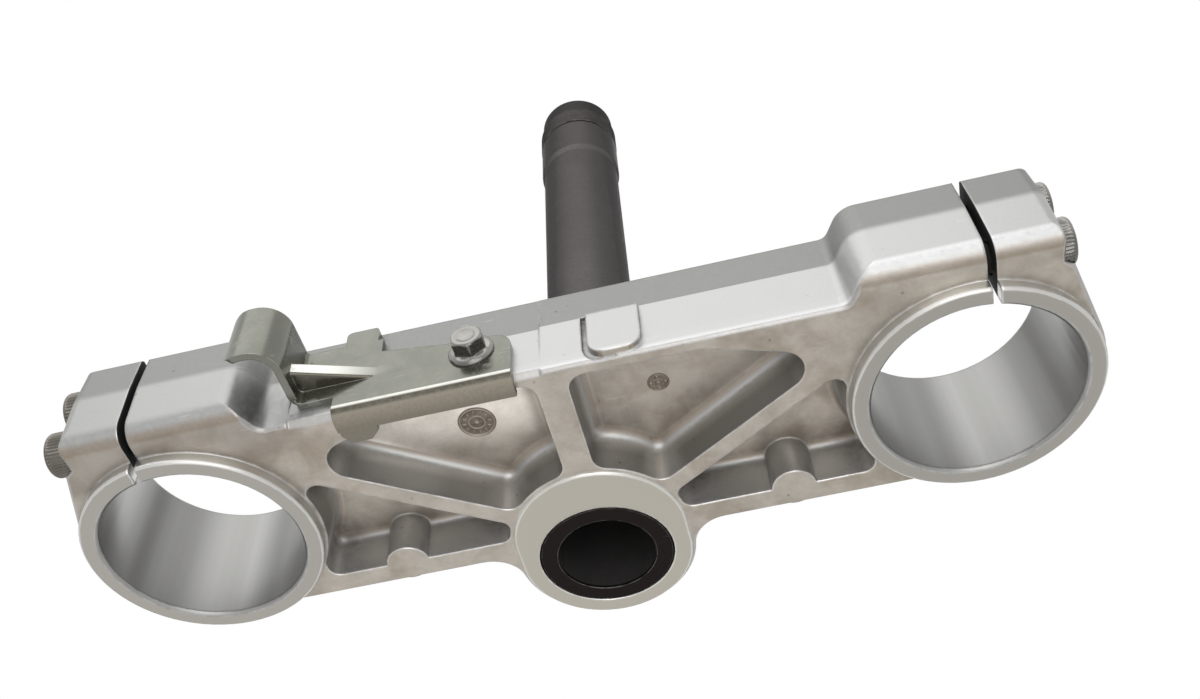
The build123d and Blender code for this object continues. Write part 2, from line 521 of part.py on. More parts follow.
with BuildPart() as hose_guide_bracket:
    with BuildSketch(Plane.XY.offset(fold_z)) as strip:
        with BuildLine():
            FilletPolyline(
                (bolt_x + PLATE_RIGHT, PLATE_Y), (guide_x, PLATE_Y), (guide_x, guide_front_y),
                guide_turn, guide_tip, radius=[FOLD_R, GUIDE_R, GUIDE_R],
            )
            offset(amount=SHEET, side=Side.RIGHT)
        make_face()
    extrude(amount=bolt_z + LUG_TOP - fold_z)
    # outline of the sheet, seen from the front
    with BuildSketch(Plane.XZ.offset(-PAD_Y)) as front_view:
        with BuildLine():
            Polyline(
                (bolt_x + PLATE_RIGHT, fold_z), (bolt_x + PLATE_RIGHT, plate_top[0]),
                (bolt_x - PLATE_SLOPE[0], plate_top[0]), (bolt_x - PLATE_SLOPE[1], plate_top[1]),
                (bolt_x - PLATE_SLOPE[1], plate_top[2]), (guide_x, plate_top[2]), (guide_x, guide_high),
                (guide_tip[0] - SHEET, guide_high), (guide_tip[0] - SHEET, guide_low),
                (guide_x, guide_low), (guide_x, step_z), (bolt_x - PLATE_STEP, step_z),
                (bolt_x - PLATE_STEP, fold_z), close=True,
            )
        make_face()
        fillet(front_view.vertices().group_by(Axis.X)[-1].sort_by(Axis.Y)[-1], PLATE_CORNER_R)
        with Locations((bolt_x - (LUG[0] + LUG[1]) / 2, plate_top[2])):
            Rectangle(LUG[1] - LUG[0], bolt_z + LUG_TOP - plate_top[2], align=(Align.CENTER, Align.MIN))
        fillet(front_view.vertices().group_by(Axis.Y)[-1], LUG_CORNER_R)
    extrude(amount=2 * GUIDE_REACH, both=True, mode=Mode.INTERSECT)
    # lip and tab under the beam
    with BuildSketch(Plane.YZ.offset(bolt_x - PLATE_STEP)):
        with BuildLine():
            FilletPolyline(
                (PAD_Y, fold_z + SHEET), (PAD_Y, UNDERSIDE_Z), (PAD_Y + LIP_REACH, UNDERSIDE_Z),
                radius=FOLD_R,
            )
            offset(amount=SHEET, side=Side.RIGHT)
        make_face()
    extrude(amount=PLATE_STEP + PLATE_RIGHT)
    with BuildSketch(Plane.XY.offset(UNDERSIDE_Z)) as tab:
        with Locations((bolt_x - TAB[0], PAD_Y + FOLD_R)):
            Rectangle(TAB[1] - TAB[0], TAB_REACH - FOLD_R, align=(Align.MAX, Align.MIN))
        chamfer(tab.vertices().group_by(Axis.Y)[-1], TAB_CORNER)
    extrude(amount=-SHEET)
    # dart pressed into the corner of plate and leg, hollow behind
    with BuildSketch(Plane.XY.offset(dart_z - DART_HEIGHT / 2)):
        with BuildLine():
            Polyline(
                dart_start, dart_end, (guide_x - SHEET / 2, dart_end[1]),
                (guide_x - SHEET / 2, PLATE_Y + SHEET / 2), (dart_start[0], PLATE_Y + SHEET / 2),
                close=True,
            )
        make_face()
    extrude(amount=DART_HEIGHT)
    ridge = hose_guide_bracket.edges().filter_by(lambda e: abs(e.length - dart_length) < NEAR)
    fillet(ridge, DART_EDGE_R)
    with BuildSketch(Plane.XY.offset(dart_z - DART_HEIGHT / 2 + DART_WALL)):
        with BuildLine():
            Polyline(
                meeting(dart_back, dart_angle, (0, PAD_Y), 0),
                meeting(dart_back, dart_angle, (guide_x - SHEET, 0), 90),
                (guide_x - SHEET, PAD_Y), close=True,
            )
        make_face()
    extrude(amount=DART_HEIGHT - 2 * DART_WALL, mode=Mode.SUBTRACT)
    with BuildSketch(Plane.XZ.offset(-PAD_Y)):
        with Locations((bolt_x, bolt_z)):
            Circle(BRACKET_BOLT_DIA / 2 + BRACKET_HOLE_CLEARANCE)
    extrude(amount=SHEET, mode=Mode.SUBTRACT)
    guide_rim = hose_guide_bracket.edges().filter_by(lambda e: e.center().Z > guide_high - NEAR)
    free_corner = guide_rim.filter_by(
        lambda e: e.center().X < guide_turn[0] and e.length < SHEET + NEAR
    )
    fillet(free_corner, GUIDE_CORNER_R)
hose_guide_bracket.part.label = "hose_guide_bracket"

# Flange bolt of the bracket
with BuildPart() as bracket_bolt:
    seat = Plane(origin=(bolt_x, PLATE_Y, bolt_z), z_dir=(0, -1, 0))
    with BuildSketch(seat):
        Circle(FLANGE_DIA / 2)
    extrude(amount=FLANGE)
    with BuildSketch(seat):
        RegularPolygon(BRACKET_HEX / 2, 6, major_radius=False)
    extrude(amount=FLANGE + BRACKET_HEAD)
    with BuildSketch(seat):
        Circle(BRACKET_BOLT_DIA / 2)
    extrude(amount=-BRACKET_BOLT_LENGTH)
    chamfer(bracket_bolt.faces().sort_by(Axis.Y)[-1].edges(), BOLT_TIP)
bracket_bolt.part.label = "bracket_bolt"

os.makedirs("parts", exist_ok=True)
for piece in (lower_yoke, steering_stem, pinch_bolts, hose_guide_bracket, bracket_bolt):
    export_step(piece.part, f"parts/{piece.part.label}.step")
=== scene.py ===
"""Dresses the lower triple clamp of a motorcycle with its finishes, screws and studio.

The CAD frame gives the shapes. This file adds the finishes with some painted light and shade, the
screws with their knurls and threads, the thread at the top of the stem, the cast marks on the
pocket floors, and a plain studio. It also cuts off the free end of the hose guide in its last bend.
"""

import json
from functools import wraps
from math import pi, radians

import bmesh
import bpy
import numpy as np
from mathutils import Euler, Matrix, Vector

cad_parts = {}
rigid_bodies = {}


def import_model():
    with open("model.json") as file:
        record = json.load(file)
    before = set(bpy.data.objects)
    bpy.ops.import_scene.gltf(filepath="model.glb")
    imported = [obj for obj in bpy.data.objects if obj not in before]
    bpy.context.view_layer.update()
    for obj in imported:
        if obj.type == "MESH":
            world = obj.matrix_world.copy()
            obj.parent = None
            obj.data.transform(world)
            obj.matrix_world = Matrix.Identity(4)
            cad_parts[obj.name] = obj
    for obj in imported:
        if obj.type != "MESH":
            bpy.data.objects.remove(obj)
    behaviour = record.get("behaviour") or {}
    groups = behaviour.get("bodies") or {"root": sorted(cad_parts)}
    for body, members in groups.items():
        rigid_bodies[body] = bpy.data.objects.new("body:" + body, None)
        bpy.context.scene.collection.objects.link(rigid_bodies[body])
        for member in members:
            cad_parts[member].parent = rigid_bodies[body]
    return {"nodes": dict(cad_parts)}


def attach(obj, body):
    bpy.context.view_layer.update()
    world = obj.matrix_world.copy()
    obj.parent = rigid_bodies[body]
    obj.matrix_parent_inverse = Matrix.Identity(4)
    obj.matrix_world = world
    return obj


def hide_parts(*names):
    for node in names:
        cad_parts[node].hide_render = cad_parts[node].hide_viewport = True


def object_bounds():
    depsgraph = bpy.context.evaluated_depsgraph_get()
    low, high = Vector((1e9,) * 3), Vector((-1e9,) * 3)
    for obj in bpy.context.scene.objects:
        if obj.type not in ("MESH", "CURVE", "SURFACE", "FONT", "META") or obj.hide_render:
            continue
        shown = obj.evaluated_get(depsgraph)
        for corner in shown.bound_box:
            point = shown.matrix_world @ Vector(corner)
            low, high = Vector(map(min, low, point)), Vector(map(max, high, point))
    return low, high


bl_info = {
    "name": "Triple clamp dresser",
    "version": (1, 0, 0),
    "blender": (4, 5, 0),
    "location": "3D Viewport > Sidebar > Triple clamp",
    "description": "Cast, turned and plated finishes, screws and a studio for a lower fork yoke",
    "category": "Object",
}

for leftover in list(bpy.data.objects):
    bpy.data.objects.remove(leftover, do_unlink=True)

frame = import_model()
CAD_BOX = [list(corner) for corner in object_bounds()]

MM = 0.001
TURN = 2 * pi

# Places on the CAD frame, in millimetres
FORK_X = 103.6
FORK_Y = -35.7
FORK_BORE_R = 27.0
UNDERSIDE_Z = 0.8
PARTING_Z = 18.0
CAST_TOP_Z = 31.0
POCKET_FLOOR_Z = 14.0
SLOT_X = 108.8
SLOT_HALF = 1.0
SCREW_Y = -68.5
SCREW_LEVELS = (7.8, 24.0)
SCREW_SEATS = {-1: 124.0, 1: 121.4}
PLATE_FRONT_Y = -70.3
BRACKET_SCREW_X = -18.8
BRACKET_SCREW_Z = 12.1
GUIDE_BEND = (-72.98, -80.5)
GUIDE_BEND_R = 7.5
GUIDE_Z = (7.0, 26.2)
GUIDE_LEANS = (0, -67.5, -45, -22.5, 22.5, 45, 67.5)
STEM_SEAT_Z = (210.0, 230.0)
STEM_THREAD_Z = (231.3, 240.9)
STEM_THREAD_R = 15.9

# Distances under which points are one, a face is a sliver and a point lies on a plane, in
# millimetres, and the angles past which an edge is sharp
WELD = 0.0005
SHEET_WELD = 0.002
SLIVER = 0.0002
ON_PLANE = 0.001
SHARP = radians(32)
SHEET_SHARP = radians(30)

# The two cast marks on the pocket floors: centre, radius and number of spokes
CAST_MARKS = {
    "cast_dial": ((-24.8, -45.5), 5.2, 12),
    "ejector_mark": ((25.0, -46.3), 3.0, 4),
}

# Zones of the finishes. Each zone is the product of soft steps. A step names a coordinate and the
# two values between which it rises from 0 to 1. Places are x, y, z and aside, which is x without
# its sign, in millimetres. Parts of the normal are face_x, face_y, face_z and tilt, which is
# face_z without its sign. face_z is -1 on a face that looks straight down.
CAST_ZONES = {
    "below": (("z", UNDERSIDE_Z - 0.05, UNDERSIDE_Z - 0.2),),
    "above": (("z", CAST_TOP_Z + 0.05, CAST_TOP_Z + 0.2),),
    "near_boss": (("aside", 45, 44),),
    "down": (("face_z", -0.82, -0.97),),
    # The rounds where the skin turns down, which get painted shade
    "brink_shade": (("face_z", -0.62, -0.86), ("face_z", -0.995, -0.95)),
    "flat": (("tilt", 0.6, 0.85),),
    # The upper strip over the parting line, which gets painted shade where it faces forward
    "over_parting": (("z", PARTING_Z - 0.1, PARTING_Z + 0.15),),
    "over_parting_softly": (("z", PARTING_Z - 1.4, PARTING_Z + 1.4),),
    "outboard": (("aside", 66, 82),),
    "ahead": (("face_y", 0.2, -0.4),),
    # The left pinch boss, which gets painted shade on its skin and on the underside below it
    "left_boss": (("x", -60, -75), ("y", -58, -61)),
    # The floor of the left pocket, which gets painted light
    "left_floor": (("x", -8, -12), ("face_z", -0.82, -0.97), ("y", -34, -48), ("z", 13.5, 13.8)),
    # Rounds under the front and the beam's lower edge, which get painted highlights
    "front_round": (
        ("face_z", -0.04, -0.14), ("face_z", -0.66, -0.42), ("y", -58, -60), ("z", 6, 4.5),
        ("x", -72, -60),
    ),
    "front_band": (("z", 3.4, 1.8), ("face_z", -0.6, -0.3), ("y", -66, -66.5), ("x", -66, -60)),
    # Pocket walls, which get painted shade in the front pockets and painted light in the rear ones
    # and by the floor
    "pocket_wall": (
        ("tilt", 0.80, 0.45), ("y", -63.5, -62), ("z", 14.5, 13.5), ("aside", 80, 76), ("y", 4, -4),
    ),
    "front_pocket": (("y", -22, -28),),
    "deep_wall_light": (("z", 7, 12.5),),
    # The slots, whose insides are painted black as shade
    "slot": (("y", -60, -61.5), ("z", 0.1, 0.9)),
}
MARK_ZONES = {"ridge": (("z", POCKET_FLOOR_Z, POCKET_FLOOR_Z - 0.3),)}
STEM_ZONES = {
    "seat": (
        ("z", STEM_SEAT_Z[0] - 0.6, STEM_SEAT_Z[0] + 0.6),
        ("z", STEM_SEAT_Z[1] + 0.4, STEM_SEAT_Z[1] - 0.4),
    ),
    "top": (("z", STEM_SEAT_Z[1] + 0.6, STEM_SEAT_Z[1] + 1.2),),
    "end": (("z", 1.2, 0.6),),
}
BRACKET_ZONES = {
    "lip": (("face_z", -0.55, -0.85), ("z", 3.8, 3.4)),
    "tab": (("y", -67.2, -64.5),),
    # The fold, which gets a painted highlight
    "fold": (("face_z", -0.06, -0.14), ("face_z", -0.38, -0.26), ("z", 3.8, 3.4)),
    # The band just below the fold, which gets soot and painted shade
    "fold_line": (("face_z", -0.32, -0.42), ("face_z", -0.80, -0.60)),
    # The dart, which gets a painted highlight
    "dart": (
        ("face_x", 0.12, 0.26), ("face_x", 0.75, 0.6), ("face_z", -0.55, -0.35),
        ("z", 9.8, 10.2), ("z", 14.9, 14.7), ("y", -70, -70.5), ("y", -78.5, -77.8),
    ),
    # Faces below the dart, which get painted shade
    "under_dart_shade": (("face_z", -0.3, -0.7), ("x", -64.4, -64.0), ("z", 8.5, 8.8)),
}
SCREW_ZONES = {
    "shaded": (("face_z", -0.25, -0.75),),
    # The screws on the left, which get painted shade
    "left": (("x", -100, -110),),
    # Shanks inside the casting, darkened as painted shade where they show in the slots
    "buried": (("aside", 120, 119), ("aside", 50, 60)),
}
UNSIGNED = {"aside": "x", "tilt": "face_z"}

# Lamps, in metres: place and size. Their powers are in the settings.
LAMPS = {
    "key": ((-0.12, -0.80, 0.62), 1.1),
    "fill": ((0.15, -0.85, -0.58), 0.8),
    "low": ((-0.65, 0.60, -0.75), 0.7),
    "back": ((0.25, 0.75, 0.85), 0.9),
}
LAMP_AIM = (0.0, -0.03, 0.03)

# The camera that was fitted to the photograph, in metres and degrees, its width and its focal
# length in pixels of the photograph, and the width of its sensor in millimetres
CAMERA_PLACE = (0.0438817, -0.2465761, -0.2252832)
CAMERA_TURN = (141.8867783, 2.7400921, 13.0458896)
CAMERA_CLIP = (0.01, 50.0)
PHOTO_WIDTH = 1200
FOCAL_PIXELS = 1186.3
SENSOR = 36.0

# How far the floor lies below the CAD box, in metres
FLOOR_GAP = 0.00005


def grey(value):
    """A colour without hue."""
    return (value, value, value)


def colour(name, words, value):
    """A colour property with its name, description and default."""
    return bpy.props.FloatVectorProperty(
        name=name, description=words, subtype="COLOR", size=3, min=0, max=1, default=value
    )


def length(name, words, value):
    """A length property in metres, from a default in millimetres."""
    return bpy.props.FloatProperty(
        name=name, description=words, unit="LENGTH", min=0, precision=5, default=value * MM
    )


def power(name, words, value):
    """The power of a lamp, in watts."""
    return bpy.props.FloatProperty(
        name=name, description=words, unit="POWER", min=0, default=value
    )


def share(name, words, value):
    """A property between 0 and 1."""
    return bpy.props.FloatProperty(
        name=name, description=words, subtype="FACTOR", min=0, max=1, default=value
    )


class CastingSettings(bpy.types.PropertyGroup):
    """Finish of the die-cast yoke, with its painted light and shade."""

    lower_skin: colour("Lower skin", "Blasted skin below the parting line", (0.43, 0.43, 0.425))
    # Painted shade: the skin above the parting line is darker where it faces forward
    upper_skin: colour("Upper skin", "Duller skin above the parting line", (0.25, 0.252, 0.242))
    underside: colour("Underside", "Warm grey skin that faces down", (0.43, 0.395, 0.35))
    bore: colour("Bores", "Bored walls of the fork clamps", (0.292, 0.29, 0.28))
    ring: colour("Rings", "Turned faces of the fork clamps", (0.37, 0.355, 0.325))
    foot: colour("Boss foot", "Turned foot of the stem boss", (0.47, 0.445, 0.385))
    # Grime colour: old grease and painted shade in the corners
    grime: colour("Grime", "Old grease in the corners", (0.12, 0.10, 0.08))
    # Painted shade: the insides of the narrow slots painted black
    slot: colour("Slot", "Black inside of the clamp slots", (0.012, 0.012, 0.014))
    # The stain colour is a brown film on the underside, and also painted shade on the rounds where
    # the skin turns down
    stain: colour("Stain", "Brown film on the underside", (0.27, 0.22, 0.17))
    # Painted shade on the left pinch boss and on the underside below it
    left_skin: colour("Left boss", "Duller skin of the left pinch boss", (0.27, 0.27, 0.265))
    left_under: colour("Under the left boss", "Stain below that boss", (0.20, 0.18, 0.16))
    # Painted light on the floor of the left pocket
    left_floor: colour("Left floor", "Clean floor of the left pocket", (0.80, 0.755, 0.695))
    # Painted highlights on the rounds under the front and on the beam's lower edge
    front_round: colour("Front rounds", "Bright rounds under the front", (0.70, 0.70, 0.70))
    front_band: colour("Front band", "Bright band over the beam's edge", (0.56, 0.56, 0.56))
    rubbed: colour("Rubbed edges", "Edges of the cast skin", (0.74, 0.74, 0.73))
    bare_edge: colour("Turned edges", "Edges of the turned faces", (0.78, 0.78, 0.76))
    # Painted highlight on the turned sides of the rings
    collar: colour("Collars", "Turned sides of the rings", (0.74, 0.74, 0.72))
    scratch: colour("Scratches", "Fine scratches in the skin", (0.80, 0.80, 0.79))
    grain: length("Grain", "Size of the cast grain", 1.1)
    mottle: length("Mottle", "Size of the cloudy patches", 11.0)
    tool_pitch: length("Tool marks", "Spacing of the turned marks", 0.25)
    edge: length("Edge wear", "Width of the rubbed edges", 1.1)
    # How far and how dark the corner grime and painted shade reach
    grime_reach: length("Grime reach", "How far grime creeps out of a corner", 12.0)
    grime_amount: share("Grime amount", "How dark the corners are", 0.75)


class StemSettings(bpy.types.PropertyGroup):
    """Finish and thread of the steering stem."""

    shaft: colour("Shaft", "Dark satin steel", (0.100, 0.095, 0.094))
    seat: colour("Bearing seat", "Ground band for the upper bearing", (0.100, 0.095, 0.092))
    end: colour("Lower end", "Stained end face and bore", (0.017, 0.013, 0.012))
    thread: colour("Thread", "Oily thread and top", (0.058, 0.053, 0.053))
    rubbed: colour("Rubbed edges", "Edges worn to bare steel", (0.30, 0.29, 0.28))
    scratch: colour("Scratches", "Fine scratches", (0.28, 0.27, 0.26))
    # Grime colour: oil and painted shade in the corners
    grime: colour("Grime", "Oil in the corners", (0.012, 0.010, 0.009))
    gloss: colour("Gloss", "Tint of the steel's gloss", (0.12, 0.115, 0.115))
    pitch: length("Thread pitch", "From crest to crest", 1.0)
    depth: length("Thread depth", "Crest above root", 0.28)


class ScrewSettings(bpy.types.PropertyGroup):
    """Pinch screws and the flange screw."""

    plating: colour("Plating", "Dull zinc", (0.28, 0.275, 0.26))
    # Grime colour: dirt and painted shade in the knurls and sockets
    grime: colour("Grime", "Dirt in the knurls and sockets", (0.05, 0.045, 0.04))
    shade: colour("Shade", "Sides that face down", (0.10, 0.096, 0.088))
    # Painted shade on the screws on the left
    film: colour("Film", "Brown film on the left screws", (0.12, 0.105, 0.085))
    rubbed: colour("Rubbed edges", "Edges worn bright", (0.72, 0.71, 0.69))
    head_diameter: length("Head diameter", "Pinch screw head", 12.0)
    head_height: length("Head height", "Pinch screw head", 8.0)
    socket: length("Socket", "Across the flats of the hexagon socket", 6.0)
    socket_depth: length("Socket depth", "Depth of the hexagon socket", 4.0)
    diameter: length("Thread diameter", "Pinch screw thread", 8.0)
    reach: length("Length", "Pinch screw below the head", 30.0)
    pitch: length("Thread pitch", "From crest to crest", 1.25)
    knurls: bpy.props.IntProperty(
        name="Knurls", description="Grooves round a pinch screw's head", min=12, default=40
    )
    hexagon: length("Hexagon", "Across the flats of the flange screw", 8.0)
    flange: length("Flange", "Diameter of the flange", 12.0)


class BracketSettings(bpy.types.PropertyGroup):
    """Finish of the hose guide bracket."""

    plating: colour("Plating", "Yellowish zinc", (0.175, 0.176, 0.153))
    dirt: colour("Dirt", "Brown film on the lip under the beam", (0.34, 0.30, 0.235))
    tab_dirt: colour("Tab dirt", "Thicker film towards the tab", (0.26, 0.23, 0.18))
    # Soot colour: black dirt along the fold, and painted shade below the fold and the dart
    soot: colour("Soot", "Black dirt along the fold", (0.06, 0.05, 0.035))
    # Painted highlight on the fold and the dart
    polish: colour("Polish", "Rubbed fold and dart", (0.66, 0.66, 0.62))
    bloom: colour("Bloom", "Pale corrosion of the zinc", (0.62, 0.62, 0.57))
    rubbed: colour("Rubbed edges", "Edges worn bright", (0.60, 0.60, 0.57))
    scratch: colour("Scratches", "Fine scratches", (0.70, 0.70, 0.66))
    end_angle: bpy.props.FloatProperty(
        name="Guide end", description="Degrees of the last bend before the free end", default=40.0
    )
    corner: length("Guide corner", "Radius of the corners of the free end", 3.0)
    dirt_height: length("Dirt height", "How far up the plate the dirt reaches", 2.6)


class StudioSettings(bpy.types.PropertyGroup):
    """Floor, lamps and camera."""

    floor: colour("Floor", "Plain pale floor", (0.90, 0.90, 0.89))
    floor_radius: length("Floor radius", "Half the width of the floor", 1000.0)
    fade: bpy.props.FloatVectorProperty(
        name="Fade",
        description="Distances at which the floor starts and ends to fade",
        size=2,
        unit="LENGTH",
        default=(0.18, 0.75),
    )
    key: power("Key lamp", "Power of the lamp in front", 3.8)
    fill: power("Fill lamp", "Power of the lamp below", 4.0)
    back: power("Back lamp", "Power of the lamp behind", 1.3)
    low: power("Low lamp", "Power of the lamp below and behind", 0.25)
    sky: share("Sky", "Strength of the plain sky on matt surfaces", 0.5)


# Shader trees


class Tree:
    """Adds and joins the nodes of one shader tree."""

    def __init__(self, tree):
        self.tree = tree
        self.parts = {}

    def put(self, socket, value):
        """Joins a socket to another one, or sets its value."""
        if isinstance(value, bpy.types.NodeSocket):
            self.tree.links.new(value, socket)
        elif hasattr(value, "__len__") and socket.type == "RGBA":
            socket.default_value = (*value[:3], 1.0)
        else:
            socket.default_value = value

    def add(self, kind, inputs=(), **settings):
        """A new node with its settings and its inputs."""
        node = self.tree.nodes.new(kind)
        for name, value in settings.items():
            setattr(node, name, value)
        for name, value in dict(inputs).items():
            self.put(node.inputs[name], value)
        return node

    def math(self, operation, *values, clamp=False):
        """A sum, product or other operation on numbers."""
        node = self.add("ShaderNodeMath", operation=operation, use_clamp=clamp)
        for socket, value in zip(node.inputs, values):
            self.put(socket, value)
        return node.outputs[0]

    def ramp(self, value, low, high, start=0.0, end=1.0):
        """A smooth step from start at low to end at high."""
        node = self.add("ShaderNodeMapRange", interpolation_type="SMOOTHSTEP")
        for socket, number in zip(node.inputs, (value, low, high, start, end)):
            self.put(socket, number)
        return node.outputs[0]

    def scale(self, value, start, end):
        """0 becomes start and 1 becomes end."""
        return self.math("MULTIPLY_ADD", value, end - start, start)

    def times(self, *factors):
        """The product of masks and numbers."""
        product = factors[0]
        for factor in factors[1:]:
            product = self.math("MULTIPLY", product, factor)
        return product

    def rest(self, mask):
        """Everything outside a mask."""
        return self.math("SUBTRACT", 1.0, mask)

    def mix(self, factor, first, second, blend="MIX"):
        """One colour turns into the other as factor rises."""
        node = self.add("ShaderNodeMix", data_type="RGBA", blend_type=blend)
        self.put(node.inputs[0], factor)
        self.put(node.inputs[6], first)
        self.put(node.inputs[7], second)
        return node.outputs[2]

    def coat(self, base, mask, strength, paint):
        """A colour laid over the base where the mask is, at most this strongly."""
        return self.mix(self.times(mask, strength), base, paint)

    def tone(self, base, mask, low, high):
        """The base times one colour where the mask is 0, and times another where it is 1."""
        return self.mix(1.0, base, self.mix(mask, low, high), "MULTIPLY")

    def blend(self, factor, first, second):
        """One number turns into the other as factor rises."""
        node = self.add("ShaderNodeMix", data_type="FLOAT")
        for index, value in zip((0, 2, 3), (factor, first, second)):
            self.put(node.inputs[index], value)
        return node.outputs[0]

    def split(self, vector):
        """The three numbers of a vector."""
        return self.add("ShaderNodeSeparateXYZ", {"Vector": vector}).outputs

    def noise(self, vector, size, detail=2.0, rough=0.5, distort=0.0):
        """Soft noise between 0 and 1, whose lumps have this size in metres."""
        node = self.add("ShaderNodeTexNoise", {"Vector": vector, "Detail": detail})
        node.inputs["Roughness"].default_value = rough
        node.inputs["Distortion"].default_value = distort
        self.put(node.inputs["Scale"], self.math("DIVIDE", 1.0, size))
        return node.outputs["Fac"]

    def vector(self, operation, *values):
        """An operation on vectors, with its outputs Vector and Value."""
        node = self.add("ShaderNodeVectorMath", operation=operation)
        for socket, value in zip(node.inputs, values):
            self.put(socket, value)
        return node.outputs

    def part(self, name, place, facing):
        """A coordinate of a zone's step, worked out once for each tree."""
        if name in UNSIGNED and name not in self.parts:
            signed = self.part(UNSIGNED[name], place, facing)
            self.parts[name] = self.math("ABSOLUTE", signed)
        elif name not in self.parts:
            prefix, vector = ("face_", facing) if name.startswith("face_") else ("", place)
            for axis, number in zip("xyz", self.split(vector)):
                self.parts[prefix + axis] = number
        return self.parts[name]

    def zones(self, table, place, facing):
        """The masks of a table of zones, by name."""
        masks = {}
        for zone, steps in table.items():
            rises = []
            for name, start, full in steps:
                unit = 1.0 if name == "tilt" or name.startswith("face_") else MM
                number = self.part(name, place, facing)
                rises.append(self.ramp(number, start * unit, full * unit))
            masks[zone] = self.times(*rises)
        return masks

    def use(self, group, place, **inputs):
        """A node group placed in this tree, at this place and with its own values."""
        return self.add("ShaderNodeGroup", {"Vector": place, **inputs}, node_tree=group).outputs


NUMBER = "NodeSocketFloat"
ARROW = "NodeSocketVector"


def node_group(inputs, outputs):
    """Makes a function that returns a group's outputs into one that returns the group itself,
    which is built on the first call."""

    def wrap(fill):
        name = fill.__name__
        sides = (("INPUT", {"Vector": ARROW, **inputs}), ("OUTPUT", outputs))

        @wraps(fill)
        def group_once():
            if name in bpy.data.node_groups:
                return bpy.data.node_groups[name]
            group = bpy.data.node_groups.new(name, "ShaderNodeTree")
            for side, sockets in sides:
                for socket, kind in sockets.items():
                    group.interface.new_socket(name=socket, in_out=side, socket_type=kind)
            tree = Tree(group)
            start = tree.add("NodeGroupInput").outputs
            tree.add("NodeGroupOutput", fill(tree, start))
            return group

        return group_once

    return wrap


@node_group(
    {"Grain": NUMBER, "Mottle": NUMBER},
    {"Clouds": NUMBER, "Grain": NUMBER, "Pits": NUMBER, "Height": NUMBER},
)
def cast_grain(tree, start):
    """Skin of a casting: cloudy patches, a fine grain and small pits."""
    place = start["Vector"]
    clouds = tree.noise(place, start["Mottle"], detail=5.0, rough=0.62, distort=0.4)
    grain = tree.noise(place, start["Grain"], detail=4.0, rough=0.65)
    cells = tree.add("ShaderNodeTexVoronoi", {"Vector": place}, feature="F1")
    tree.put(cells.inputs["Scale"], tree.math("DIVIDE", 0.28, start["Grain"]))
    dots = tree.ramp(cells.outputs["Distance"], 0.16, 0.06)
    spread = tree.ramp(tree.noise(place, 6 * MM, detail=1.0), 0.55, 0.68)
    pits = tree.times(dots, spread)
    return {
        "Clouds": tree.ramp(clouds, 0.3, 0.7),
        "Grain": tree.ramp(grain, 0.28, 0.72),
        "Pits": pits,
        "Height": tree.math("SUBTRACT", grain, tree.times(pits, 0.8)),
    }


@node_group({"Reach": NUMBER, "Amount": NUMBER}, {"Mask": NUMBER})
def crevice_grime(tree, start):
    """Mask of the corners where dirt collects and shade falls, broken up by noise: partly dirt and
    partly painted shade.
    """
    corner = tree.add(
        "ShaderNodeAmbientOcclusion", {"Distance": start["Reach"]}, samples=16, only_local=True
    )
    closed = tree.rest(tree.ramp(corner.outputs["AO"], 0.32, 0.80))
    patch = tree.noise(start["Vector"], 4 * MM, detail=4.0, rough=0.6)
    broken = tree.times(closed, tree.ramp(patch, 0.25, 0.7, 0.35, 1.0))
    return {"Mask": tree.math("MULTIPLY", broken, start["Amount"], clamp=True)}


@node_group({"Width": NUMBER}, {"Mask": NUMBER, "Normal": ARROW})
def edge_wear(tree, start):
    """Mask of the outer edges that hands and tools have rubbed, from a rounded normal."""
    bevel = tree.add("ShaderNodeBevel", {"Radius": start["Width"]}, samples=8)
    rounded = bevel.outputs["Normal"]
    flat = tree.add("ShaderNodeNewGeometry").outputs["Normal"]
    turn = tree.rest(tree.vector("DOT_PRODUCT", rounded, flat)["Value"])
    patch = tree.noise(start["Vector"], 3.5 * MM, detail=3.0, rough=0.6)
    rubbed = tree.times(tree.ramp(turn, 0.01, 0.12), tree.ramp(patch, 0.3, 0.6))
    return {"Mask": rubbed, "Normal": rounded}


@node_group(
    {"Centre": ARROW, "Pitch": NUMBER},
    {"Away": ARROW, "Distance": NUMBER, "Rings": NUMBER, "Lines": NUMBER},
)
def turned_marks(tree, start):
    """Fine ridges that a tool leaves: rings round a centre, or lines stacked along Z."""
    x, y, z = tree.split(tree.vector("SUBTRACT", start["Vector"], start["Centre"])["Vector"])
    away = tree.add("ShaderNodeCombineXYZ", {"X": x, "Y": y}).outputs["Vector"]
    distance = tree.math("SQRT", tree.math("ADD", tree.times(x, x), tree.times(y, y)))
    ridges = []
    for along in (distance, z):
        turns = tree.math("DIVIDE", along, start["Pitch"])
        wave = tree.math("SINE", tree.times(turns, TURN))
        line = tree.add(
            "ShaderNodeTexNoise",
            {"W": turns, "Scale": 1.3, "Detail": 3.0},
            noise_dimensions="1D",
        )
        ridges.append(tree.math("MULTIPLY_ADD", wave, 0.18, line.outputs["Fac"]))
    return {"Away": away, "Distance": distance, "Rings": ridges[0], "Lines": ridges[1]}


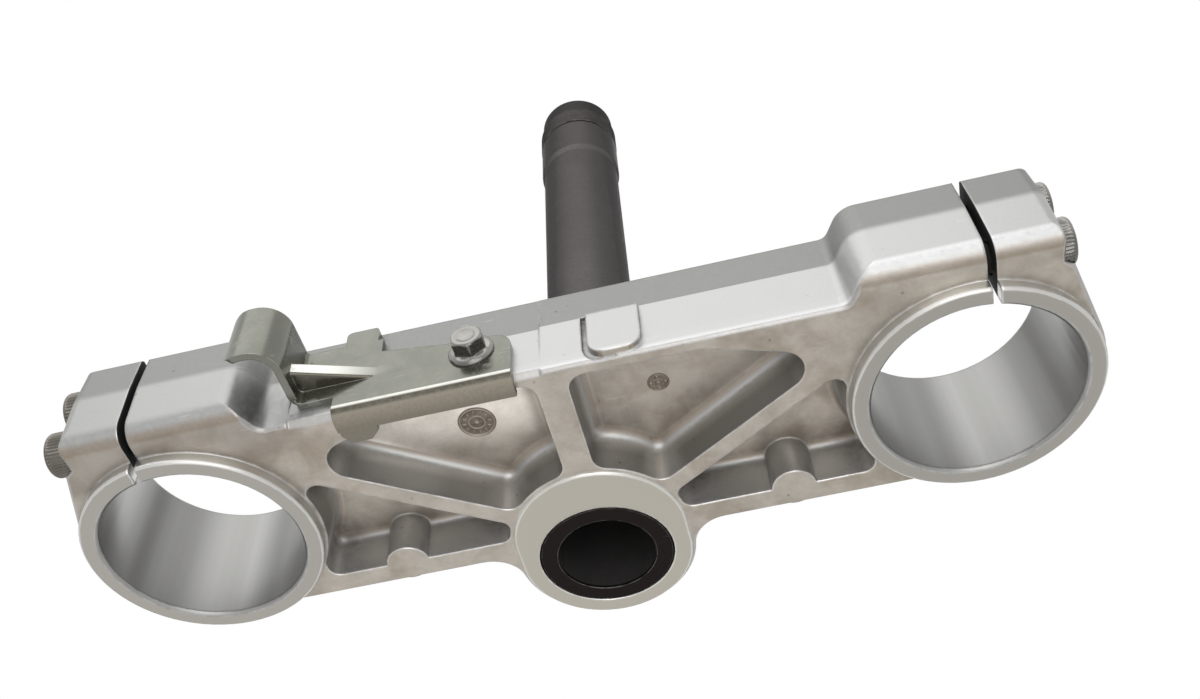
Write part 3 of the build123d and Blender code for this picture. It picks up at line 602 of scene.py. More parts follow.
@node_group({}, {"Mask": NUMBER})
def hand_marks(tree, start):
    """Short fine scratches in two directions."""
    marks = []
    for angle, patch_size in ((0.5, 11 * MM), (-0.9, 17 * MM)):
        turned = tree.add("ShaderNodeMapping", {"Vector": start["Vector"]})
        turned.inputs["Rotation"].default_value = (angle, 0.6 * angle, angle)
        turned.inputs["Scale"].default_value = (0.06, 1.0, 1.0)
        streak = tree.noise(turned.outputs["Vector"], 0.6 * MM, detail=1.0)
        patch = tree.noise(start["Vector"], patch_size)
        marks.append(tree.times(tree.ramp(streak, 0.70, 0.76), tree.ramp(patch, 0.5, 0.62)))
    return {"Mask": tree.math("MAXIMUM", *marks)}


def new_material(name):
    """A material with its tree, its Principled shader and the object's place and facing."""
    material = bpy.data.materials.new(name)
    material.use_nodes = True
    material.node_tree.nodes.clear()
    tree = Tree(material.node_tree)
    shader = tree.add("ShaderNodeBsdfPrincipled")
    tree.add("ShaderNodeOutputMaterial", {"Surface": shader.outputs["BSDF"]})
    coordinates = tree.add("ShaderNodeTexCoord").outputs
    return material, tree, shader, coordinates["Object"], coordinates["Normal"]


def set_surface(tree, shader, base, rough, metal):
    """Gives the shader its colour, roughness and share of metal."""
    for name, value in (("Base Color", base), ("Roughness", rough), ("Metallic", metal)):
        tree.put(shader.inputs[name], value)


def add_bump(tree, shader, height, depth, normal=None):
    """Feeds a height between 0 and 1, this deep in metres, to the shader's normal."""
    bump = tree.add("ShaderNodeBump", {"Height": height, "Distance": depth, "Strength": 1.0})
    if normal is not None:
        tree.put(bump.inputs["Normal"], normal)
    tree.put(shader.inputs["Normal"], bump.outputs["Normal"])


def casting_material(look):
    """Die-cast aluminium with turned faces, told apart by where they lie on the yoke, with painted
    light and shade by place and facing.
    """
    material, tree, shader, place, facing = new_material("cast_yoke_skin")
    zone = tree.zones(CAST_ZONES, place, facing)
    down = zone["down"]
    aside, y, z = (tree.part(name, place, facing) for name in ("aside", "y", "z"))
    folded = tree.add("ShaderNodeCombineXYZ", {"X": aside, "Y": y, "Z": z}).outputs["Vector"]
    pitch = look.tool_pitch
    fork_centre = (FORK_X * MM, FORK_Y * MM, 0)
    fork = tree.use(turned_marks(), folded, Centre=fork_centre, Pitch=pitch)
    boss = tree.use(turned_marks(), place, Centre=(0, 0, 0), Pitch=pitch)

    # Turned faces: the bores, the rings round them and the foot of the boss
    bore = tree.ramp(fork["Distance"], (FORK_BORE_R + 1.0) * MM, (FORK_BORE_R + 0.9) * MM)
    machined = tree.math("MAXIMUM", bore, tree.math("MAXIMUM", zone["below"], zone["above"]))
    rings = tree.blend(zone["near_boss"], fork["Rings"], boss["Rings"])
    marks = tree.blend(bore, rings, fork["Lines"])
    brushed = tree.ramp(marks, 0.3, 0.75)
    streak = tree.vector("NORMALIZE", fork["Away"])["Vector"]
    sheen = tree.ramp(tree.noise(streak, 0.5, detail=3.0, rough=0.55), 0.35, 0.65)

    # The two halves of the mould, with painted shade on the upper one, the seam between them and
    # the slots
    high = tree.blend(zone["outboard"], zone["over_parting"], zone["over_parting_softly"])
    upper = tree.times(high, tree.rest(zone["flat"]), tree.scale(zone["ahead"], 0.25, 1.0))
    seam_gap = tree.math("ABSOLUTE", tree.math("SUBTRACT", z, PARTING_Z * MM))
    seam = tree.ramp(seam_gap, 0.35 * MM, 0.1 * MM)
    # Painted shade: the slot walls are painted black
    slot_gap = tree.math("ABSOLUTE", tree.math("SUBTRACT", aside, SLOT_X * MM))
    slot = tree.ramp(slot_gap, (SLOT_HALF + 0.2) * MM, (SLOT_HALF + 0.03) * MM)
    slot = tree.times(slot, zone["slot"])

    grain = tree.use(cast_grain(), place, Grain=look.grain, Mottle=look.mottle)
    wear = tree.use(edge_wear(), place, Width=look.edge)
    # Grime with painted shade in the corners, reaching far into the pockets on the cast skin
    reach = tree.blend(machined, look.grime_reach, 1.8 * MM)
    grime = tree.use(crevice_grime(), place, Reach=reach, Amount=look.grime_amount)["Mask"]
    grime = tree.times(grime, tree.scale(machined, 1.0, 0.2))
    # Less grime and painted shade on the floor of the left pocket, which gets painted light
    grime = tree.times(grime, tree.scale(zone["left_floor"], 1.0, 0.12))
    grime = tree.math("MAXIMUM", grime, slot)
    scratches = tree.use(hand_marks(), place)["Mask"]

    # Painted shade on the upper strip above the parting line, where it faces forward
    skin = tree.mix(upper, look.lower_skin, look.upper_skin)
    # Painted shade on the left pinch boss
    skin = tree.coat(skin, zone["left_boss"], 0.40, look.left_skin)
    skin = tree.mix(down, skin, look.underside)
    # Painted shade on the underside below the left pinch boss
    skin = tree.coat(skin, tree.times(zone["left_boss"], down), 0.45, look.left_under)
    film = tree.ramp(tree.noise(place, 24 * MM, detail=4.0, rough=0.6), 0.5, 0.68)
    skin = tree.coat(skin, tree.times(film, down), 0.55, look.stain)
    # Painted shade on the rounds where the skin turns down
    skin = tree.coat(skin, zone["brink_shade"], 0.65, look.stain)
    # Painted light on the floor of the left pocket
    skin = tree.mix(zone["left_floor"], skin, look.left_floor)
    # Painted highlights on the rounds under the front and on the beam's lower edge
    skin = tree.coat(skin, zone["front_round"], 0.85, look.front_round)
    skin = tree.mix(zone["front_band"], skin, look.front_band)

    # Pocket walls: painted shade on the front pockets' walls, and painted light on the rear ones
    # and deep in every pocket by the floor
    front = zone["front_pocket"]
    wall = tree.times(zone["pocket_wall"], tree.scale(front, 0.45, 1.0))
    wall_light_and_shade = tree.mix(front, (1.75, 1.73, 1.70), (0.74, 0.73, 0.72))
    wall_light_and_shade = tree.mix(zone["deep_wall_light"], wall_light_and_shade, (1.5, 1.48, 1.45))
    skin = tree.mix(wall, skin, tree.mix(1.0, skin, wall_light_and_shade, "MULTIPLY"))

    cloudy = tree.mix(grain["Clouds"], (0.86, 0.85, 0.83), grey(1.08))
    skin = tree.tone(skin, down, grey(0.97), cloudy)
    skin = tree.tone(skin, grain["Grain"], grey(0.94), grey(1.04))
    skin = tree.coat(skin, grain["Pits"], 0.5, look.grime)
    skin = tree.coat(skin, wear["Mask"], 0.4, look.rubbed)
    skin = tree.coat(skin, scratches, 0.14, look.scratch)

    bare = tree.mix(bore, tree.mix(zone["near_boss"], look.ring, look.foot), look.bore)
    bare = tree.tone(bare, brushed, grey(0.95), grey(1.03))
    bare = tree.tone(bare, tree.times(sheen, bore), grey(0.94), (1.12, 1.12, 1.13))
    # Painted highlight on the turned sides of the rings
    collar = tree.times(tree.rest(zone["flat"]), tree.rest(bore))
    bare = tree.coat(bare, collar, 0.8, look.collar)
    bare = tree.coat(bare, wear["Mask"], 0.6, look.bare_edge)
    base = tree.mix(machined, skin, bare)
    # Corners take the grime colour, which is partly painted shade, and the slots their painted
    # black shade
    base = tree.mix(grime, base, tree.mix(slot, look.grime, look.slot))

    dull = tree.scale(grain["Grain"], 0.34, 0.48)
    dull = tree.math("ADD", dull, tree.times(upper, 0.08))
    shine = tree.scale(brushed, 0.33, 0.40)
    shine = tree.math("SUBTRACT", shine, tree.times(sheen, 0.05))
    rough = tree.blend(machined, dull, shine)
    rough = tree.blend(tree.times(wear["Mask"], 0.6), rough, 0.28)
    rough = tree.blend(grime, rough, 0.75)
    set_surface(tree, shader, base, rough, tree.blend(grime, 0.92, 0.3))

    cast_height = tree.math("ADD", grain["Height"], tree.times(seam, 0.8))
    height = tree.blend(machined, cast_height, tree.times(marks, 0.06))
    add_bump(tree, shader, height, 0.03 * MM, wear["Normal"])
    return material


def mark_material(look):
    """The skin of the raised marks on the pocket floors: grimy between their paler ridges."""
    material, tree, shader, place, facing = new_material("cast_mark_skin")
    zone = tree.zones(MARK_ZONES, place, facing)
    grain = tree.use(cast_grain(), place, Grain=0.8 * MM, Mottle=4 * MM)
    hollow = tree.mix(grain["Clouds"], look.grime, look.stain)
    base = tree.mix(zone["ridge"], hollow, look.underside)
    set_surface(tree, shader, base, tree.scale(grain["Grain"], 0.4, 0.6), 0.7)
    add_bump(tree, shader, grain["Height"], 0.05 * MM)
    return material


def stem_material(look):
    """Dark satin steel with a ground seat near the top and a stained lower end."""
    material, tree, shader, place, facing = new_material("stem_dark_steel")
    zone = tree.zones(STEM_ZONES, place, facing)
    turned = tree.use(turned_marks(), place, Centre=(0, 0, 0), Pitch=0.6 * MM)
    grain = tree.use(cast_grain(), place, Grain=1.2 * MM, Mottle=18 * MM)
    # Oil and painted shade in the corners
    grime = tree.use(crevice_grime(), place, Reach=3 * MM, Amount=0.6)["Mask"]
    wear = tree.use(edge_wear(), place, Width=0.5 * MM)
    scratches = tree.use(hand_marks(), place)["Mask"]

    base = tree.mix(zone["seat"], look.shaft, look.seat)
    base = tree.tone(base, grain["Clouds"], (0.94, 0.935, 0.93), (1.05, 1.05, 1.045))
    base = tree.tone(base, tree.ramp(turned["Lines"], 0.3, 0.8), grey(0.94), grey(1.07))
    base = tree.mix(zone["top"], base, look.thread)
    base = tree.mix(zone["end"], base, look.end)
    base = tree.coat(base, wear["Mask"], 0.5, look.rubbed)
    base = tree.coat(base, scratches, 0.2, look.scratch)
    base = tree.mix(grime, base, look.grime)
    rough = tree.blend(zone["seat"], tree.scale(grain["Grain"], 0.38, 0.52), 0.33)
    set_surface(tree, shader, base, rough, 0.75)
    tree.put(shader.inputs["Specular Tint"], look.gloss)
    height = tree.math("MULTIPLY_ADD", turned["Lines"], 0.5, grain["Height"])
    add_bump(tree, shader, height, 0.015 * MM, wear["Normal"])
    return material


def bracket_material(look):
    """Zinc-plated sheet, clean on its flat and dirty along the fold under the beam, with a painted
    highlight on the fold and the dart and painted shade below them.
    """
    material, tree, shader, place, facing = new_material("bracket_zinc_sheet")
    zone = tree.zones(BRACKET_ZONES, place, facing)
    grain = tree.use(cast_grain(), place, Grain=2.5 * MM, Mottle=9 * MM)
    # Dirt and painted shade in the corners
    grime = tree.use(crevice_grime(), place, Reach=2.5 * MM, Amount=0.3)["Mask"]
    wear = tree.use(edge_wear(), place, Width=0.4 * MM)
    scratches = tree.use(hand_marks(), place)["Mask"]

    crust = tree.noise(place, 1.2 * MM, detail=6.0, rough=0.75, distort=0.2)
    speckle = tree.ramp(crust, 0.38, 0.62)
    z = tree.part("z", place, facing)
    splash = tree.times(tree.ramp(z, look.dirt_height, 0.2 * MM), 0.35)
    dirt = tree.times(tree.math("MAXIMUM", zone["lip"], splash), tree.scale(speckle, 0.55, 1.0))
    # Soot and painted shade in the band just below the fold
    fold_soot_and_shade = tree.times(zone["fold_line"], tree.scale(speckle, 0.6, 1.0))
    # Painted highlight on the fold and the dart
    highlighted = tree.math("MAXIMUM", zone["fold"], zone["dart"])
    bloom = tree.ramp(tree.noise(place, 4.5 * MM, detail=3.0, rough=0.6), 0.58, 0.76)

    base = tree.tone(look.plating, grain["Clouds"], (0.88, 0.885, 0.87), (1.03, 1.03, 1.02))
    base = tree.coat(base, bloom, 0.16, look.bloom)
    base = tree.coat(base, wear["Mask"], 0.35, look.rubbed)
    base = tree.coat(base, scratches, 0.15, look.scratch)
    base = tree.coat(base, highlighted, 0.85, look.polish)
    base = tree.mix(dirt, base, tree.mix(zone["tab"], look.dirt, look.tab_dirt))
    base = tree.coat(base, fold_soot_and_shade, 0.85, look.soot)
    # Painted shade on the faces below the dart
    base = tree.coat(base, zone["under_dart_shade"], 0.6, look.soot)
    base = tree.mix(grime, base, look.soot)
    rough = tree.blend(bloom, tree.scale(grain["Grain"], 0.22, 0.27), 0.6)
    metal = tree.blend(tree.math("MAXIMUM", dirt, grime), 0.85, 0.2)
    set_surface(tree, shader, base, tree.blend(dirt, rough, 0.8), metal)
    height = tree.math("MULTIPLY_ADD", dirt, 0.5, grain["Height"])
    add_bump(tree, shader, height, 0.002 * MM, wear["Normal"])
    return material


def screw_material(look):
    """Dull zinc plating with dirt and painted shade in its grooves, and painted shade on the shanks
    inside the casting, on the screws on the left and on sides that face down.
    """
    name = "screw_zinc"
    if name in bpy.data.materials:
        return bpy.data.materials[name]
    material, tree, shader, place, facing = new_material(name)
    zone = tree.zones(SCREW_ZONES, place, facing)
    grain = tree.use(cast_grain(), place, Grain=0.7 * MM, Mottle=5 * MM)
    wear = tree.use(edge_wear(), place, Width=0.3 * MM)
    grime = tree.use(crevice_grime(), place, Reach=2.2 * MM, Amount=0.8)["Mask"]
    # Painted shade on the shanks inside the casting
    grime = tree.math("MAXIMUM", grime, zone["buried"])

    base = tree.tone(look.plating, grain["Clouds"], (0.88, 0.87, 0.86), (1.05, 1.05, 1.04))
    base = tree.coat(base, zone["shaded"], 0.8, look.shade)
    base = tree.coat(base, wear["Mask"], 0.6, look.rubbed)
    # Painted shade on the screws on the left
    base = tree.coat(base, zone["left"], 0.62, look.film)
    base = tree.mix(grime, base, look.grime)
    rough = tree.blend(grime, tree.scale(grain["Grain"], 0.18, 0.30), 0.7)
    set_surface(tree, shader, base, rough, tree.blend(grime, 0.95, 0.3))
    add_bump(tree, shader, grain["Height"], 0.004 * MM)
    return material


# Surfaces


def guide_trim(shell, end_angle, corner):
    """Cuts the free end of the hose guide off square at an angle of its last bend.

    The end's two corners are rounded by planes that touch a circle: each plane's normal is the
    strip's direction there, leaned up or down, and it stands one radius from the circle's centre.
    """
    turn = radians(end_angle)
    along = np.array([-np.cos(turn), np.sin(turn), 0])
    outward = np.array([-np.sin(turn), -np.cos(turn), 0])
    up = np.array([0, 0, 1])
    low, high = GUIDE_Z
    middle = np.array([*GUIDE_BEND, (low + high) / 2]) + GUIDE_BEND_R * outward
    limit = GUIDE_BEND[0] * MM
    for lean in np.radians(GUIDE_LEANS):
        way = np.cos(lean) * along + np.sin(lean) * up
        centre = middle - corner * along + np.sign(lean) * ((high - low) / 2 - corner) * up
        hook = [face for face in shell.faces if min(vert.co.x for vert in face.verts) < limit]
        edges = dict.fromkeys(edge for face in hook for edge in face.edges)
        verts = dict.fromkeys(vert for face in hook for vert in face.verts)
        cut = bmesh.ops.bisect_plane(
            shell,
            geom=[*hook, *edges, *verts],
            dist=ON_PLANE * MM,
            plane_co=(centre + corner * way) * MM,
            plane_no=way,
            clear_outer=True,
        )
        rim = [item for item in cut["geom_cut"] if isinstance(item, bmesh.types.BMEdge)]
        bmesh.ops.triangle_fill(shell, edges=rim, use_beauty=True, use_dissolve=False)


def grid_faces(rows, columns, close_rows=False):
    """Quads between neighbouring points of a grid whose columns close round on themselves."""
    down = np.arange(rows if close_rows else rows - 1)[:, None]
    across = np.arange(columns)[None, :]
    next_down = (down + 1) % rows
    next_across = (across + 1) % columns
    corners = (
        down * columns + across,
        down * columns + next_across,
        next_down * columns + next_across,
        next_down * columns + across,
    )
    return np.stack(corners, axis=-1).reshape(-1, 4)


def make_piece(name, sheets, material):
    """One mesh object from several closed sheets of points, given in millimetres.

    Points that fall together at a pole or a seam are merged, and all faces then point outwards.
    """
    points, faces, used = [], [], 0
    for sheet, close_rows in sheets:
        rows, columns = sheet.shape[:2]
        points.append(sheet.reshape(-1, 3))
        faces.append(grid_faces(rows, columns, close_rows) + used)
        used += rows * columns
    mesh = bpy.data.meshes.new(name)
    mesh.from_pydata(np.concatenate(points) * MM, [], np.concatenate(faces).tolist())
    shell = bmesh.new()
    shell.from_mesh(mesh)
    bmesh.ops.remove_doubles(shell, verts=shell.verts, dist=WELD * MM)
    bmesh.ops.dissolve_degenerate(shell, edges=shell.edges, dist=SLIVER * MM)
    bmesh.ops.recalc_face_normals(shell, faces=shell.faces)
    shell.to_mesh(mesh)
    shell.free()
    mesh.set_sharp_from_angle(angle=SHARP)
    mesh.polygons.foreach_set("use_smooth", np.ones(len(mesh.polygons), dtype=bool))
    mesh.materials.append(material)
    piece = bpy.data.objects.new(name, mesh)
    bpy.context.scene.collection.objects.link(piece)
    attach(piece, "root")
    return piece


def hexagon_radius(angle, flats):
    """Distance from the centre to the side of a hexagon: half the flats over the cosine of the
    angle from the middle of that side."""
    return flats / 2 / np.cos(np.mod(angle, pi / 3) - pi / 6)


def around(columns):
    """Angles of this many columns round an axis."""
    return np.arange(columns) * TURN / columns


def turned_rows(rows, columns):
    """Points (height, across, up) of rows carried round an axis.

    A row is a height and a radius, and the radius may change with the angle: the point is the
    radius times the cosine and the sine of the angle.
    """
    angle = around(columns)
    height = np.stack([np.broadcast_to(row[0], columns) for row in rows])
    radius = np.stack([np.broadcast_to(row[1], columns) for row in rows])
    return np.stack([height, radius * np.cos(angle), radius * np.sin(angle)], axis=-1)


def threaded_rows(start, end, crest, depth, pitch, columns):
    """Rows of a screw thread: the radius falls from crest to root and back once per pitch, and the
    wave climbs one pitch per turn. It fades out over the first and the last pitch."""
    steps_per_pitch, flat_share = 8, 0.15
    heights = np.linspace(start, end, int(abs(end - start) / pitch * steps_per_pitch) + 1)
    turns = heights[:, None] / pitch + np.arange(columns)[None, :] / columns
    wave = np.abs(2 * np.mod(turns, 1.0) - 1)
    flank = np.clip((1 + 2 * flat_share) * wave - flat_share, 0, 1)
    run_in = np.minimum(np.abs(heights - start), np.abs(heights - end)) / pitch
    fade = np.clip(run_in, 0, 1)[:, None]
    radii = crest - depth * (1 - flank) * fade
    return list(zip(heights, radii))


def socket_screw(look):
    """Two closed sheets of a cap screw along +X: its head with the knurl and the socket, and its
    shank with the thread. The seat of the head is at height 0."""
    columns = look.knurls * 6
    angle = around(columns)
    radius = look.head_diameter / MM / 2
    top = look.head_height / MM
    floor = top - look.socket_depth / MM
    shank = look.diameter / MM / 2
    hexagon = hexagon_radius(angle, look.socket / MM)
    mouth = hexagon.max() + 0.15
    round_edge, knurl_depth, drill_point = 0.9, 0.24, 0.7
    # From the bottom of the socket over the rim and down the knurl to the seat
    rows = [(floor - drill_point, 0.0), (floor, hexagon * 0.98), (floor + 0.15, hexagon)]
    rows += [(top - 0.5, hexagon), (top - 0.12, np.maximum(hexagon, mouth - 0.25))]
    rows += [(top, mouth + 0.1), (top, radius - round_edge - 0.1)]
    for bend in np.linspace(0, pi / 2, 6):
        drop, shrink = round_edge * (1 - np.cos(bend)), round_edge * (1 - np.sin(bend))
        rows.append((top - drop, radius - shrink))
    groove = 0.5 - 0.5 * np.cos(angle * look.knurls)
    for height in np.linspace(top - round_edge - 0.25, 0.75, 9):
        rows.append((height, radius - knurl_depth * groove))
    rows += [(0.5, radius - 0.02), (0.0, radius - 0.5), (0.0, shank + 0.15), (-0.15, 0.0)]
    head = turned_rows(rows, columns)

    columns = 48
    tip = -look.reach / MM
    plain, buried, thread_depth, tip_cone = 7.5, 1.0, 0.62, 0.9
    outside = shank - 0.02
    rows = [(buried, 0.0), (buried, outside), (-plain, outside)]
    rows += threaded_rows(
        -plain - 0.1, tip + 0.6, outside, thread_depth, look.pitch / MM, columns
    )
    rows += [(tip, shank - tip_cone), (tip, 0.0)]
    return head, turned_rows(rows, columns)


def flange_screw(look):
    """Two closed sheets of a flange screw along +X: its hexagon, which is cut back by a cone at the
    top and flows into the round flange, and its threaded shank."""
    columns = 144
    flats = look.hexagon / MM
    turned_by, blunt_corner = 0.35, 0.565
    hexagon = hexagon_radius(around(columns) + turned_by, flats)
    hexagon = np.minimum(hexagon, flats * blunt_corner)
    rim = look.flange / MM / 2
    top, collar, cone_radius, cone_slope = 5.6, 1.4, 3.62, 1.55
    # From the dished top over the cone and down the hexagon to the flange and the seat
    rows = [(top - 0.45, 0.0), (top - 0.45, 1.7), (top - 0.30, 2.2), (top - 0.02, 2.75)]
    rows += [(top, 2.95), (top, 3.55)]
    for drop in (0.12, 0.3, 0.5, 0.8):
        rows.append((top - drop, np.minimum(hexagon, cone_radius + cone_slope * drop)))
    rows += [(collar + 0.8, hexagon), (collar + 0.35, hexagon + 0.05)]
    for part in np.linspace(0, 1, 5):
        rows.append((collar + 0.2 - 0.35 * part, hexagon * (1 - part) + (rim - 0.9) * part + 0.1))
    rows += [(0.85, rim - 0.35), (0.6, rim - 0.08), (0.35, rim), (0.0, rim - 0.05), (0.0, 3.2)]
    rows += [(-0.1, 0.0)]
    head = turned_rows(rows, columns)

    columns = 36
    tip, radius, thread_depth, pitch, buried = -8.0, 2.97, 0.5, 1.0, 0.5
    rows = [(buried, 0.0), (buried, radius - 0.02), (-0.2, radius - 0.02)]
    rows += threaded_rows(-0.3, tip + 0.7, radius, thread_depth, pitch, columns)
    rows += [(tip, 2.2), (tip, 0.0)]
    return head, turned_rows(rows, columns)


def thread_sleeve(look):
    """Closed sleeve with a thread: its outside follows the thread, and its inside is a plain
    cylinder sunk into the stem."""
    columns = 96
    low, high = STEM_THREAD_Z
    inner, root, end_gap = STEM_THREAD_R - 0.4, STEM_THREAD_R + 0.02, 0.1
    crest = root + look.depth / MM
    rows = [(low, inner), (low, root)]
    thread = threaded_rows(
        low + end_gap, high - end_gap, crest, crest - root, look.pitch / MM, columns
    )
    rows += [(height, np.maximum(radii, root)) for height, radii in thread]
    rows += [(high, root), (high, inner)]
    sheet = turned_rows(rows, columns)
    return np.stack([sheet[..., 1], sheet[..., 2], sheet[..., 0]], axis=-1)


def cast_dial(centre, radius, spokes):
    """A raised plain dial on a pocket floor that faces down.

    Its height over the floor is a rim, a ring and a hub, each a smooth bump of the distance from
    the centre, plus short ribs where the angle falls on a spoke. A flat sheet inside the casting
    closes it.
    """

    def bump(middle, width, power):
        """1 at the middle, falling smoothly to 0 over the width."""
        return np.exp(-(((out - middle) / width) ** power))

    rise, skirt, buried = 0.36, 0.03, 0.3
    angle = around(144)
    out = np.linspace(0.0, 1.0, 40)[:, None]
    swing = 0.5 + 0.5 * np.cos(angle * spokes)[None, :]
    ribs = 0.7 * swing**10 * bump(0.66, 0.10, 4)
    circles = np.maximum.reduce(
        [bump(0.90, 0.045, 2), 0.8 * bump(0.42, 0.04, 2), 0.7 * bump(0.0, 0.11, 4)]
    )
    height = rise * np.maximum(circles, ribs) + skirt
    x = centre[0] + radius * out * np.cos(angle)
    y = centre[1] + radius * out * np.sin(angle)
    front = np.stack([x, y, POCKET_FLOOR_Z - height], axis=-1)
    back = np.stack([x, y, np.full_like(x, POCKET_FLOOR_Z + buried)], axis=-1)
    return np.concatenate([front, back[::-1]])


# Operators


def settings():
    """The user's values, from the scene."""
    return bpy.context.scene.triple_clamp


def dress(node_name, material):
    """Puts a material on a CAD node."""
    node = frame["nodes"][node_name]
    if not node.material_slots:
        node.data.materials.append(material)
    for slot in node.material_slots:
        slot.material = material


class TRIPLECLAMP_OT_yoke(bpy.types.Operator):
    """Gives the yoke its cast skin and turned faces, and adds the marks on the pocket floors"""

    bl_idname = "triple_clamp.yoke"
    bl_label = "Finish the yoke"

    def execute(self, context):
        """Assigns the casting material and builds the two cast marks."""
        look = settings().casting
        dress("lower_yoke", casting_material(look))
        mark = mark_material(look)
        for name, dial in CAST_MARKS.items():
            piece = make_piece(name, [(cast_dial(*dial), False)], mark)
        return {"FINISHED"}


class TRIPLECLAMP_OT_stem(bpy.types.Operator):
    """Gives the stem its dark steel and cuts the thread for the top nut"""

    bl_idname = "triple_clamp.stem"
    bl_label = "Finish the stem"

    def execute(self, context):
        """Assigns the steel and adds the thread."""
        look = settings().stem
        material = stem_material(look)
        dress("steering_stem", material)
        piece = make_piece("stem_thread", [(thread_sleeve(look), True)], material)
        return {"FINISHED"}


class TRIPLECLAMP_OT_pinch_screws(bpy.types.Operator):
    """Builds the four knurled cap screws that close the fork clamps"""

    bl_idname = "triple_clamp.pinch_screws"
    bl_label = "Build the pinch screws"

    def execute(self, context):
        """Places a left and a right pair, heads outwards."""
        look = settings().screws
        sheets = socket_screw(look)
        placed = []
        for side, seat in SCREW_SEATS.items():
            for level in SCREW_LEVELS:
                place = (side * seat, SCREW_Y, level)
                placed += [(sheet * (side, side, 1) + place, False) for sheet in sheets]
        piece = make_piece("pinch_screws", placed, screw_material(look))
        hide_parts("pinch_bolts")
        return {"FINISHED"}


class TRIPLECLAMP_OT_bracket(bpy.types.Operator):
    """Gives the hose guide bracket its zinc plating and dirt"""

    bl_idname = "triple_clamp.bracket"
    bl_label = "Finish the bracket"

    def execute(self, context):
        """Merges a copy of the CAD sheet, shortens the free end of its guide and plates it."""
        look = settings().bracket
        node = frame["nodes"]["hose_guide_bracket"]
        mesh = bpy.data.meshes.new("hose_guide_sheet")
        shell = bmesh.new()
        shell.from_mesh(node.data)
        bmesh.ops.transform(shell, matrix=node.matrix_world, verts=shell.verts)
        bmesh.ops.remove_doubles(shell, verts=shell.verts, dist=SHEET_WELD * MM)
        guide_trim(shell, look.end_angle, look.corner / MM)
        bmesh.ops.recalc_face_normals(shell, faces=shell.faces)
        shell.to_mesh(mesh)
        shell.free()
        if "custom_normal" in mesh.attributes:
            mesh.attributes.remove(mesh.attributes["custom_normal"])
        mesh.polygons.foreach_set("use_smooth", np.ones(len(mesh.polygons), dtype=bool))
        mesh.polygons.foreach_set("material_index", np.zeros(len(mesh.polygons), dtype=int))
        mesh.set_sharp_from_angle(angle=SHEET_SHARP)
        mesh.materials.append(bracket_material(look))
        piece = bpy.data.objects.new("hose_guide_sheet", mesh)
        context.scene.collection.objects.link(piece)
        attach(piece, "root")
        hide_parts("hose_guide_bracket")
        return {"FINISHED"}


class TRIPLECLAMP_OT_bracket_screw(bpy.types.Operator):
    """Builds the flange screw that holds the bracket"""

    bl_idname = "triple_clamp.bracket_screw"
    bl_label = "Build the flange screw"

    def execute(self, context):
        """Turns the screw to face the front and seats it on the plate."""
        look = settings().screws
        placed = []
        for sheet in flange_screw(look):
            forward = np.stack([sheet[..., 1], -sheet[..., 0], sheet[..., 2]], axis=-1)
            place = (BRACKET_SCREW_X, PLATE_FRONT_Y, BRACKET_SCREW_Z)
            placed.append((forward + place, False))
        piece = make_piece("flange_screw", placed, screw_material(look))
        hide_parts("bracket_bolt")
        return {"FINISHED"}


def floor_material(look):
    """A matt floor that shows only from above, fades out round the object and lets all other
    light through."""
    material, tree, shader, place, _ = new_material("studio_floor")
    set_surface(tree, shader, look.floor, 0.9, 0.0)
    tree.put(shader.inputs["Specular IOR Level"], 0.1)
    seen = tree.add("ShaderNodeLightPath").outputs["Is Camera Ray"]
    behind = tree.add("ShaderNodeNewGeometry").outputs["Backfacing"]
    away = tree.vector("LENGTH", place)["Value"]
    shown = tree.times(seen, tree.rest(behind), tree.ramp(away, look.fade[1], look.fade[0]))
    choice = tree.add("ShaderNodeMixShader", {"Fac": shown})
    tree.put(choice.inputs[1], tree.add("ShaderNodeBsdfTransparent").outputs["BSDF"])
    tree.put(choice.inputs[2], shader.outputs["BSDF"])
    output = next(node for node in material.node_tree.nodes if node.type == "OUTPUT_MATERIAL")
    tree.put(output.inputs["Surface"], choice.outputs["Shader"])
    return material


def add_lamp(name, place, size, watts):
    """A square area lamp that faces the object."""
    lamp = bpy.data.lights.new(name, "AREA")
    lamp.size = size
    lamp.energy = watts
    lamp_object = bpy.data.objects.new(name, lamp)
    direction = Vector(LAMP_AIM) - Vector(place)
    turn = direction.to_track_quat("-Z", "Y").to_matrix().to_4x4()
    lamp_object.matrix_world = Matrix.Translation(place) @ turn
    bpy.context.scene.collection.objects.link(lamp_object)


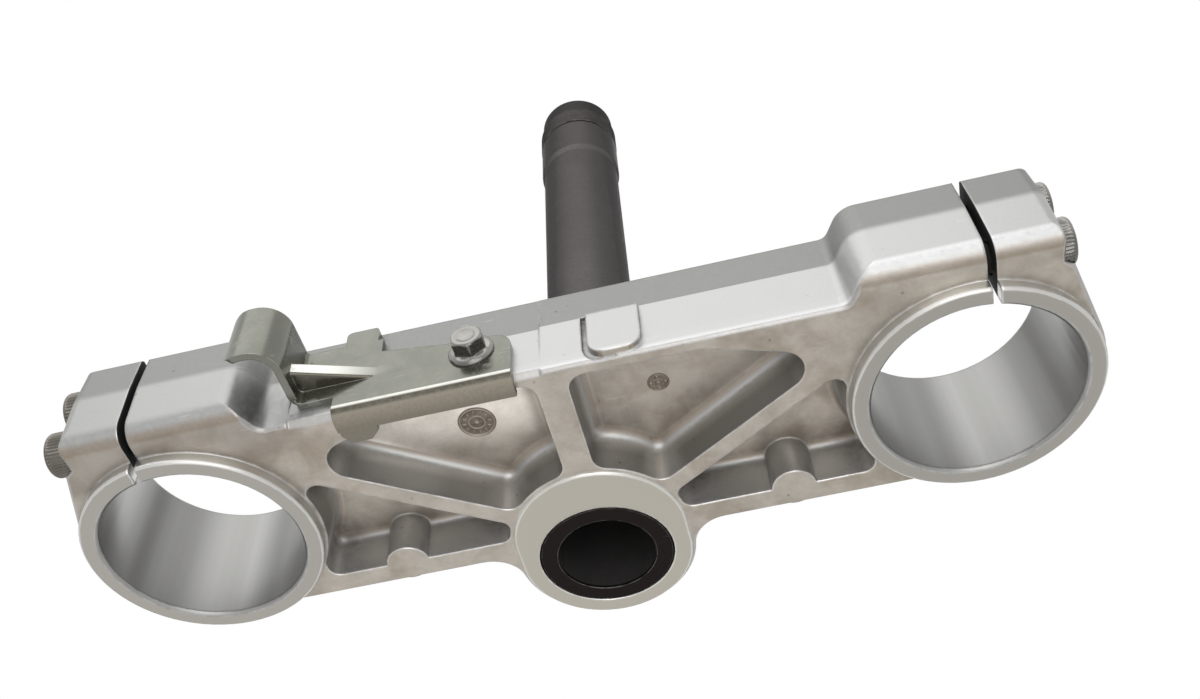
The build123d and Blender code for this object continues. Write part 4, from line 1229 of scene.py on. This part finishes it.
class TRIPLECLAMP_OT_studio(bpy.types.Operator):
    """Sets up the floor, the soft lamps, the white background and the camera"""

    bl_idname = "triple_clamp.studio"
    bl_label = "Set up the studio"

    def execute(self, context):
        """Builds everything that isn't part of the object."""
        look = settings().studio
        scene = context.scene
        low = CAD_BOX[0][2] - FLOOR_GAP
        square = ((-1, -1), (1, -1), (1, 1), (-1, 1))
        corners = [(x * look.floor_radius, y * look.floor_radius, low) for x, y in square]
        mesh = bpy.data.meshes.new("floor")
        mesh.from_pydata(corners, [], [(0, 1, 2, 3)])
        mesh.materials.append(floor_material(look))
        floor = bpy.data.objects.new("floor", mesh)
        scene.collection.objects.link(floor)

        for name, (place, size) in LAMPS.items():
            add_lamp(name + "_lamp", place, size, getattr(look, name))

        world = bpy.data.worlds.new("studio")
        scene.world = world
        world.use_nodes = True
        world.node_tree.nodes.clear()
        tree = Tree(world.node_tree)
        path = tree.add("ShaderNodeLightPath").outputs
        seen = tree.math("MAXIMUM", path["Is Camera Ray"], path["Is Glossy Ray"])
        seen = tree.math("MAXIMUM", seen, path["Is Transmission Ray"])
        strength = tree.blend(seen, look.sky, 1.0)
        sky = tree.add("ShaderNodeBackground", {"Color": (1.0, 1.0, 1.0), "Strength": strength})
        tree.add("ShaderNodeOutputWorld", {"Surface": sky.outputs["Background"]})

        camera = bpy.data.cameras.new("camera")
        camera.sensor_width = SENSOR
        camera.sensor_fit = "HORIZONTAL"
        camera.lens = FOCAL_PIXELS / PHOTO_WIDTH * SENSOR
        camera.clip_start, camera.clip_end = CAMERA_CLIP
        camera_object = bpy.data.objects.new("camera", camera)
        camera_object.location = CAMERA_PLACE
        camera_object.rotation_euler = Euler([radians(angle) for angle in CAMERA_TURN], "XYZ")
        scene.collection.objects.link(camera_object)
        scene.camera = camera_object
        scene.view_settings.view_transform = "Standard"
        return {"FINISHED"}


class ClampSettings(bpy.types.PropertyGroup):
    """All values of the triple clamp."""

    casting: bpy.props.PointerProperty(type=CastingSettings)
    stem: bpy.props.PointerProperty(type=StemSettings)
    screws: bpy.props.PointerProperty(type=ScrewSettings)
    bracket: bpy.props.PointerProperty(type=BracketSettings)
    studio: bpy.props.PointerProperty(type=StudioSettings)


class TRIPLECLAMP_PT_panel(bpy.types.Panel):
    """Lists the steps and their values in the sidebar"""

    bl_idname = "TRIPLECLAMP_PT_panel"
    bl_label = "Triple clamp"
    bl_space_type = "VIEW_3D"
    bl_region_type = "UI"
    bl_category = "Triple clamp"

    def draw(self, context):
        """One button per step, above the values that it uses."""
        names = ("casting", "stem", "screws", "bracket", "screws", "studio")
        for operator, name in zip(STEPS, names):
            group = getattr(settings(), name)
            box = self.layout.box()
            box.operator(operator.bl_idname)
            for value in group.__annotations__:
                box.prop(group, value)


STEPS = (
    TRIPLECLAMP_OT_yoke,
    TRIPLECLAMP_OT_stem,
    TRIPLECLAMP_OT_pinch_screws,
    TRIPLECLAMP_OT_bracket,
    TRIPLECLAMP_OT_bracket_screw,
    TRIPLECLAMP_OT_studio,
)
CLASSES = (
    CastingSettings,
    StemSettings,
    ScrewSettings,
    BracketSettings,
    StudioSettings,
    ClampSettings,
    *STEPS,
    TRIPLECLAMP_PT_panel,
)


def register():
    """Makes the steps, their values and the panel known to Blender."""
    for item in CLASSES:
        bpy.utils.register_class(item)
    bpy.types.Scene.triple_clamp = bpy.props.PointerProperty(type=ClampSettings)


def unregister():
    """Takes the panel, the values and the steps away again."""
    del bpy.types.Scene.triple_clamp
    for item in reversed(CLASSES):
        bpy.utils.unregister_class(item)


def main():
    register()
    bpy.ops.triple_clamp.yoke()
    bpy.ops.triple_clamp.stem()
    bpy.ops.triple_clamp.pinch_screws()
    bpy.ops.triple_clamp.bracket()
    bpy.ops.triple_clamp.bracket_screw()
    bpy.ops.triple_clamp.studio()


if __name__ == "__main__":
    main()
